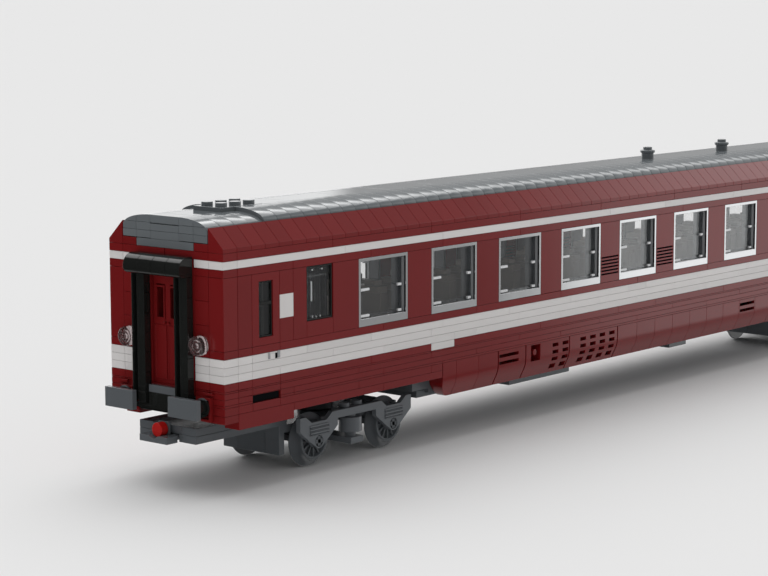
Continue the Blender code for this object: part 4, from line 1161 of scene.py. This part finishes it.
# The far bogie's inner panel in two halves, and the strap that joins them to the plate: studs, Y and heights
FAR_PANEL = (
    ((55.9, 56.3), (-0.0200, -0.0001), (0.0067, 0.0190)),
    ((55.9, 56.3), (0.0001, 0.0200), (0.0067, 0.0190)),
    ((55.9, 57.6), (-0.0080, 0.0080), (0.0188, 0.0191)),
)
AXLE_ARMS = ((0.0009, 0.0021), (0.0021, 0.0009))
SPOKE_HALF = 0.00035
SPOKE_REACH = (0.0026, 0.0069)
SPOKE_DEPTHS = (0.0019, 0.0006)
WHEEL_PROFILE = (
    (0, WHEEL_OUTER - 0.0002),
    (0.0026, WHEEL_OUTER - 0.0002),
    (0.0029, WHEEL_OUTER - 0.0005),
    (0.0030, WHEEL_OUTER - 0.0018),
    (0.0066, WHEEL_OUTER - 0.0018),
    (0.0069, WHEEL_OUTER - 0.0003),
    (0.0071, WHEEL_OUTER),
    (0.0080, WHEEL_OUTER),
    (0.0083, WHEEL_OUTER - 0.0003),
    (0.0084, WHEEL_INNER + 0.0034),
    (0.0086, WHEEL_INNER + 0.0026),
    (0.0092, WHEEL_INNER + 0.0019),
    (0.0102, WHEEL_INNER + 0.0013),
    (0.0111, WHEEL_INNER + 0.0009),
    (0.0114, WHEEL_INNER + 0.0006),
    (0.0114, WHEEL_INNER + 0.0002),
    (0.0112, WHEEL_INNER),
    (0, WHEEL_INNER),
)


def put_bogie(end, x):
    """A bogie's plates, coupler, magnet and cast sides."""
    body = f"bogie_{end}"
    plate = f"bogie_plate_{end}"
    pile = Pile()
    for layer in slices(copy_of(plate), Z, [BODY_Z + TONGUE_SEAM]):
        pile.put(*slices(layer, Y, [across(3), across(5)]))
    if end == "far":
        for span, width, height in FAR_PANEL:
            pile.put(box(*zip(studs(span), width, height)))
    pile.piece(f"bogie_plate_bricks_{end}", body, "dark_grey", [plate], edge=0.0002, segments=2)
    for side, y in SIDES:
        node = f"side_frame_{end}_{side}"
        pile = Pile().put(copy_of(node))
        for offset in (-AXLE_SPREAD / 2, AXLE_SPREAD / 2):
            axle = along(BOGIE_S) + offset
            for rise in RIB_LEVELS:
                middle = (axle, -BOGIE_HALF, BODY_Z + rise)
                low = [place - half for place, half in zip(middle, RIB_HALF)]
                high = [place + half for place, half in zip(middle, RIB_HALF)]
                pile.put(mirrored(box(low, high), -x, -y))
        # The cast sides are drawn lighter than the dark grey, as painted fill light
        name = f"side_frame_cast_{end}_{side}"
        pile.piece(name, body, "dark_grey", [node], "dark grey with painted fill light", edge=0.0002, segments=2)
    coupler, magnet = f"coupler_{end}", f"magnet_{end}"
    arm, disc = Pile().put(copy_of(coupler)), Pile().put(copy_of(magnet))
    arm.piece(f"coupler_arm_{end}", coupler, "dark_grey", [coupler], edge=0.0002, segments=2)
    disc.piece(f"magnet_disc_{end}", coupler, "red", [magnet], edge=0.0003, segments=2)


def put_wheelset(name, x):
    """Two spoked wheels with their flanges on a cross axle."""
    node = f"wheelset_{name}"
    centre = Vector((x, 0, FLANGE_RADIUS))
    pile = Pile()
    reach = BOGIE_HALF - 0.0001
    for low, high in AXLE_ARMS:
        pile.put(box((x - low, -reach, FLANGE_RADIUS - high), (x + low, reach, FLANGE_RADIUS + high)))
    for hand in (-1, 1):
        profile = [(radius, hand * reach) for radius, reach in WHEEL_PROFILE]
        pile.put(turned(profile, centre, "Y", 56))
        for spoke in range(SPOKES):
            low, high = sorted(hand * (WHEEL_OUTER - depth) for depth in SPOKE_DEPTHS)
            bar = box((-SPOKE_HALF, low, SPOKE_REACH[0]), (SPOKE_HALF, high, SPOKE_REACH[1]))
            turn = Matrix.Translation(centre) @ Matrix.Rotation(2 * math.pi * spoke / SPOKES, 4, "Y")
            bmesh.ops.transform(bar, matrix=turn, verts=bar.verts)
            pile.put(bar)
    pile.piece(f"wheelset_turned_{name}", node, "dark_grey", [node], edge=0.0001)


# The stage

CAMERA_PLACE = (-0.8829997, -0.615508, 0.1980855)
CAMERA_AZIMUTH = -49.83038
CAMERA_ELEVATION = 7.88815
CAMERA_ROLL = -0.13841
FLOOR_SIZE = 40
SENSOR = 36


def put_floor(stage):
    mesh = bmesh.new()
    bmesh.ops.create_grid(mesh, x_segments=1, y_segments=1, size=FLOOR_SIZE)
    data = bpy.data.meshes.new("floor")
    mesh.to_mesh(data)
    mesh.free()
    floor = bpy.data.objects.new("floor", data)
    bpy.context.scene.collection.objects.link(floor)
    made, finish = new_finish("pale floor")
    place = finish.add("ShaderNodeTexCoord", out="Object")
    cloud = finish.noise(place, 3.0)
    finish.surface(
        {
            "Base Color": (stage.floor,) * 3 + (1,),
            "Roughness": 0.9 + (cloud - 0.5) * 0.05,
            "Specular IOR Level": 0.0,
        }
    )
    data.materials.append(made)
    floor.visible_glossy = False


def put_light(stage):
    """Even light all round, a soft lamp overhead, and for gloss a studio that is bright on one half."""
    lamp = bpy.data.lights.new("overhead", "SUN")
    lamp.energy = stage.key
    lamp.angle = math.radians(75)
    lamp.specular_factor = 0.0
    sun = bpy.data.objects.new("overhead", lamp)
    sun.rotation_euler = Vector((-0.26, -0.46, -1)).to_track_quat("-Z", "Y").to_euler()
    bpy.context.scene.collection.objects.link(sun)
    world = bpy.data.worlds.new("studio")
    world.use_nodes = True
    bpy.context.scene.world = world
    finish = Finish(world.node_tree)
    way = finish.add("ShaderNodeTexCoord", out="Generated")
    high = finish.add("ShaderNodeSeparateXYZ", {}, {"Vector": way}, "Z")

    def ramp(value, start, end, low, top):
        return finish.add(
            "ShaderNodeMapRange",
            {"interpolation_type": "SMOOTHSTEP"},
            {"Value": value, "From Min": start, "From Max": end, "To Min": low, "To Max": top},
        )

    def toward(degrees, rise=0.0):
        turn = math.radians(degrees)
        line = (math.cos(turn), math.sin(turn), rise)
        return finish.add("ShaderNodeVectorMath", {"operation": "DOT_PRODUCT"}, {0: way, 1: line}, "Value")

    # The half towards 50 degrees is bright, and the light fades away from 10 degrees
    side = ramp(toward(50, 0.12), 0.04, 0.09, 0.29, 1.0)
    behind = ramp(toward(10), -0.3, 0.2, 0.02, 1.0)
    # Round 40 degrees there is a panel with a hard edge instead, and a lamp band above it
    overhead = ramp(toward(40), 0.55, 0.75, 0.0, 1.0)
    panel = ramp(toward(131.5), -0.012, 0.006, 0.40, 1.15)
    lamp_band = ramp(high, 0.41, 0.49, 0.0, 1.0) * ramp(high, 0.58, 0.65, 1.9, 0.0)
    # Towards the floor and overhead it is darker
    below = ramp(high, -0.32, -0.17, 0.35, 1.0)
    above = ramp(high, 0.52, 0.62, 1.0, 0.3)
    gloss = side * behind * below * above * (1 + overhead * (panel + lamp_band - 1))
    path = finish.add("ShaderNodeLightPath", out="Is Camera Ray")
    node = path.socket.node
    seen = Wire(finish, node.outputs["Is Glossy Ray"])
    through = Wire(finish, node.outputs["Is Transmission Ray"])
    plain = path + through - path * through
    strength = plain * stage.floor + (1 - plain) * (seen * gloss + (1 - seen) * stage.sky)
    back = finish.add("ShaderNodeBackground", {}, {"Color": (1, 1, 1, 1), "Strength": strength})
    finish.add("ShaderNodeOutputWorld", {}, {"Surface": back})


def put_camera(stage):
    azimuth, elevation, roll = (math.radians(a) for a in (CAMERA_AZIMUTH, CAMERA_ELEVATION, CAMERA_ROLL))
    flat = math.cos(elevation)
    back = Vector((math.sin(azimuth) * flat, -math.cos(azimuth) * flat, math.sin(elevation)))
    right = Vector((math.cos(azimuth), math.sin(azimuth), 0))
    up = back.cross(right)
    turned_right = math.cos(roll) * right + math.sin(roll) * up
    turned_up = math.cos(roll) * up - math.sin(roll) * right
    data = bpy.data.cameras.new("camera")
    data.sensor_width = SENSOR
    data.lens = stage.lens
    data.clip_start, data.clip_end = 0.01, 2 * FLOOR_SIZE
    camera = bpy.data.objects.new("camera", data)
    turn = Matrix((turned_right, turned_up, back)).transposed().to_4x4()
    camera.matrix_world = Matrix.Translation(CAMERA_PLACE) @ turn
    bpy.context.scene.collection.objects.link(camera)
    bpy.context.scene.camera = camera


# Operators


class COACH_OT_walls(bpy.types.Operator):
    """Lower walls, white bands and window walls."""

    bl_idname = "coach.walls"
    bl_label = "Walls"

    def execute(self, context):
        for side, y in SIDES:
            put_lower_wall(side, y)
            put_bands(side, y)
            put_window_wall(side, y)
        return {"FINISHED"}


class COACH_OT_roof_sides(bpy.types.Operator):
    """The red rows and slopes under the roof."""

    bl_idname = "coach.roof_sides"
    bl_label = "Roof sides"

    def execute(self, context):
        for side, y in SIDES:
            put_roof_side(side, y)
        return {"FINISHED"}


class COACH_OT_windows(bpy.types.Operator):
    """Big windows and the small ones near the ends."""

    bl_idname = "coach.windows"
    bl_label = "Windows"

    def execute(self, context):
        for side, y in SIDES:
            put_windows(side, y)
            put_small_windows(side, y)
        return {"FINISHED"}


class COACH_OT_skirts(bpy.types.Operator):
    """The skirts below the walls."""

    bl_idname = "coach.skirts"
    bl_label = "Skirts"

    def execute(self, context):
        for side, y in SIDES:
            put_skirt(side, y)
        return {"FINISHED"}


class COACH_OT_roof(bpy.types.Operator):
    """The roof, its studded plates and its vents."""

    bl_idname = "coach.roof"
    bl_label = "Roof"

    def execute(self, context):
        put_roof()
        return {"FINISHED"}


class COACH_OT_inside(bpy.types.Operator):
    """Seats, floor and trough."""

    bl_idname = "coach.inside"
    bl_label = "Seats and floor"

    def execute(self, context):
        put_seats()
        put_under()
        return {"FINISHED"}


class COACH_OT_ends(bpy.types.Operator):
    """Gangways, end doors, sills with buffers, and lamps."""

    bl_idname = "coach.ends"
    bl_label = "Ends"

    def execute(self, context):
        for end, x in ENDS:
            put_gangway(end)
            put_end_door(end, x)
            put_end_sill(end, x)
            put_lamps(end, x)
        return {"FINISHED"}


class COACH_OT_bogies(bpy.types.Operator):
    """Bogies, couplers and wheelsets."""

    bl_idname = "coach.bogies"
    bl_label = "Bogies"

    def execute(self, context):
        for end, x in ENDS:
            put_bogie(end, x)
            centre = -x * along(BOGIE_S)
            for place, offset in (("outer", x), ("inner", -x)):
                put_wheelset(f"{end}_{place}", centre + offset * AXLE_SPREAD / 2)
        return {"FINISHED"}


class COACH_OT_stage(bpy.types.Operator):
    """Floor, light and camera."""

    bl_idname = "coach.stage"
    bl_label = "Stage"

    def execute(self, context):
        stage = settings()[2]
        put_floor(stage)
        put_light(stage)
        put_camera(stage)
        context.scene.view_settings.view_transform = "Standard"
        return {"FINISHED"}


class COACH_PT_panel(bpy.types.Panel):
    """The coach's pieces in building order."""

    bl_idname = "COACH_PT_panel"
    bl_label = "Coach"
    bl_space_type = "VIEW_3D"
    bl_region_type = "UI"
    bl_category = "Coach"

    def draw(self, context):
        for group in (context.scene.coach_sizes, context.scene.coach_colours, context.scene.coach_stage):
            for name in group.__annotations__:
                self.layout.prop(group, name)
        for operator in OPERATORS:
            self.layout.operator(operator.bl_idname)


OPERATORS = (
    COACH_OT_walls,
    COACH_OT_roof_sides,
    COACH_OT_windows,
    COACH_OT_skirts,
    COACH_OT_roof,
    COACH_OT_inside,
    COACH_OT_ends,
    COACH_OT_bogies,
    COACH_OT_stage,
)
GROUPS = (("coach_colours", CoachColours), ("coach_sizes", CoachSizes), ("coach_stage", CoachStage))


def register():
    for name, group in GROUPS:
        bpy.utils.register_class(group)
        setattr(bpy.types.Scene, name, bpy.props.PointerProperty(type=group))
    for cls in (*OPERATORS, COACH_PT_panel):
        bpy.utils.register_class(cls)


def unregister():
    for cls in reversed((*OPERATORS, COACH_PT_panel)):
        bpy.utils.unregister_class(cls)
    for name, group in reversed(GROUPS):
        delattr(bpy.types.Scene, name)
        bpy.utils.unregister_class(group)


def main():
    register()
    for operator in OPERATORS:
        area, name = operator.bl_idname.split(".")
        getattr(getattr(bpy.ops, area), name)()


if __name__ == "__main__":
    main()
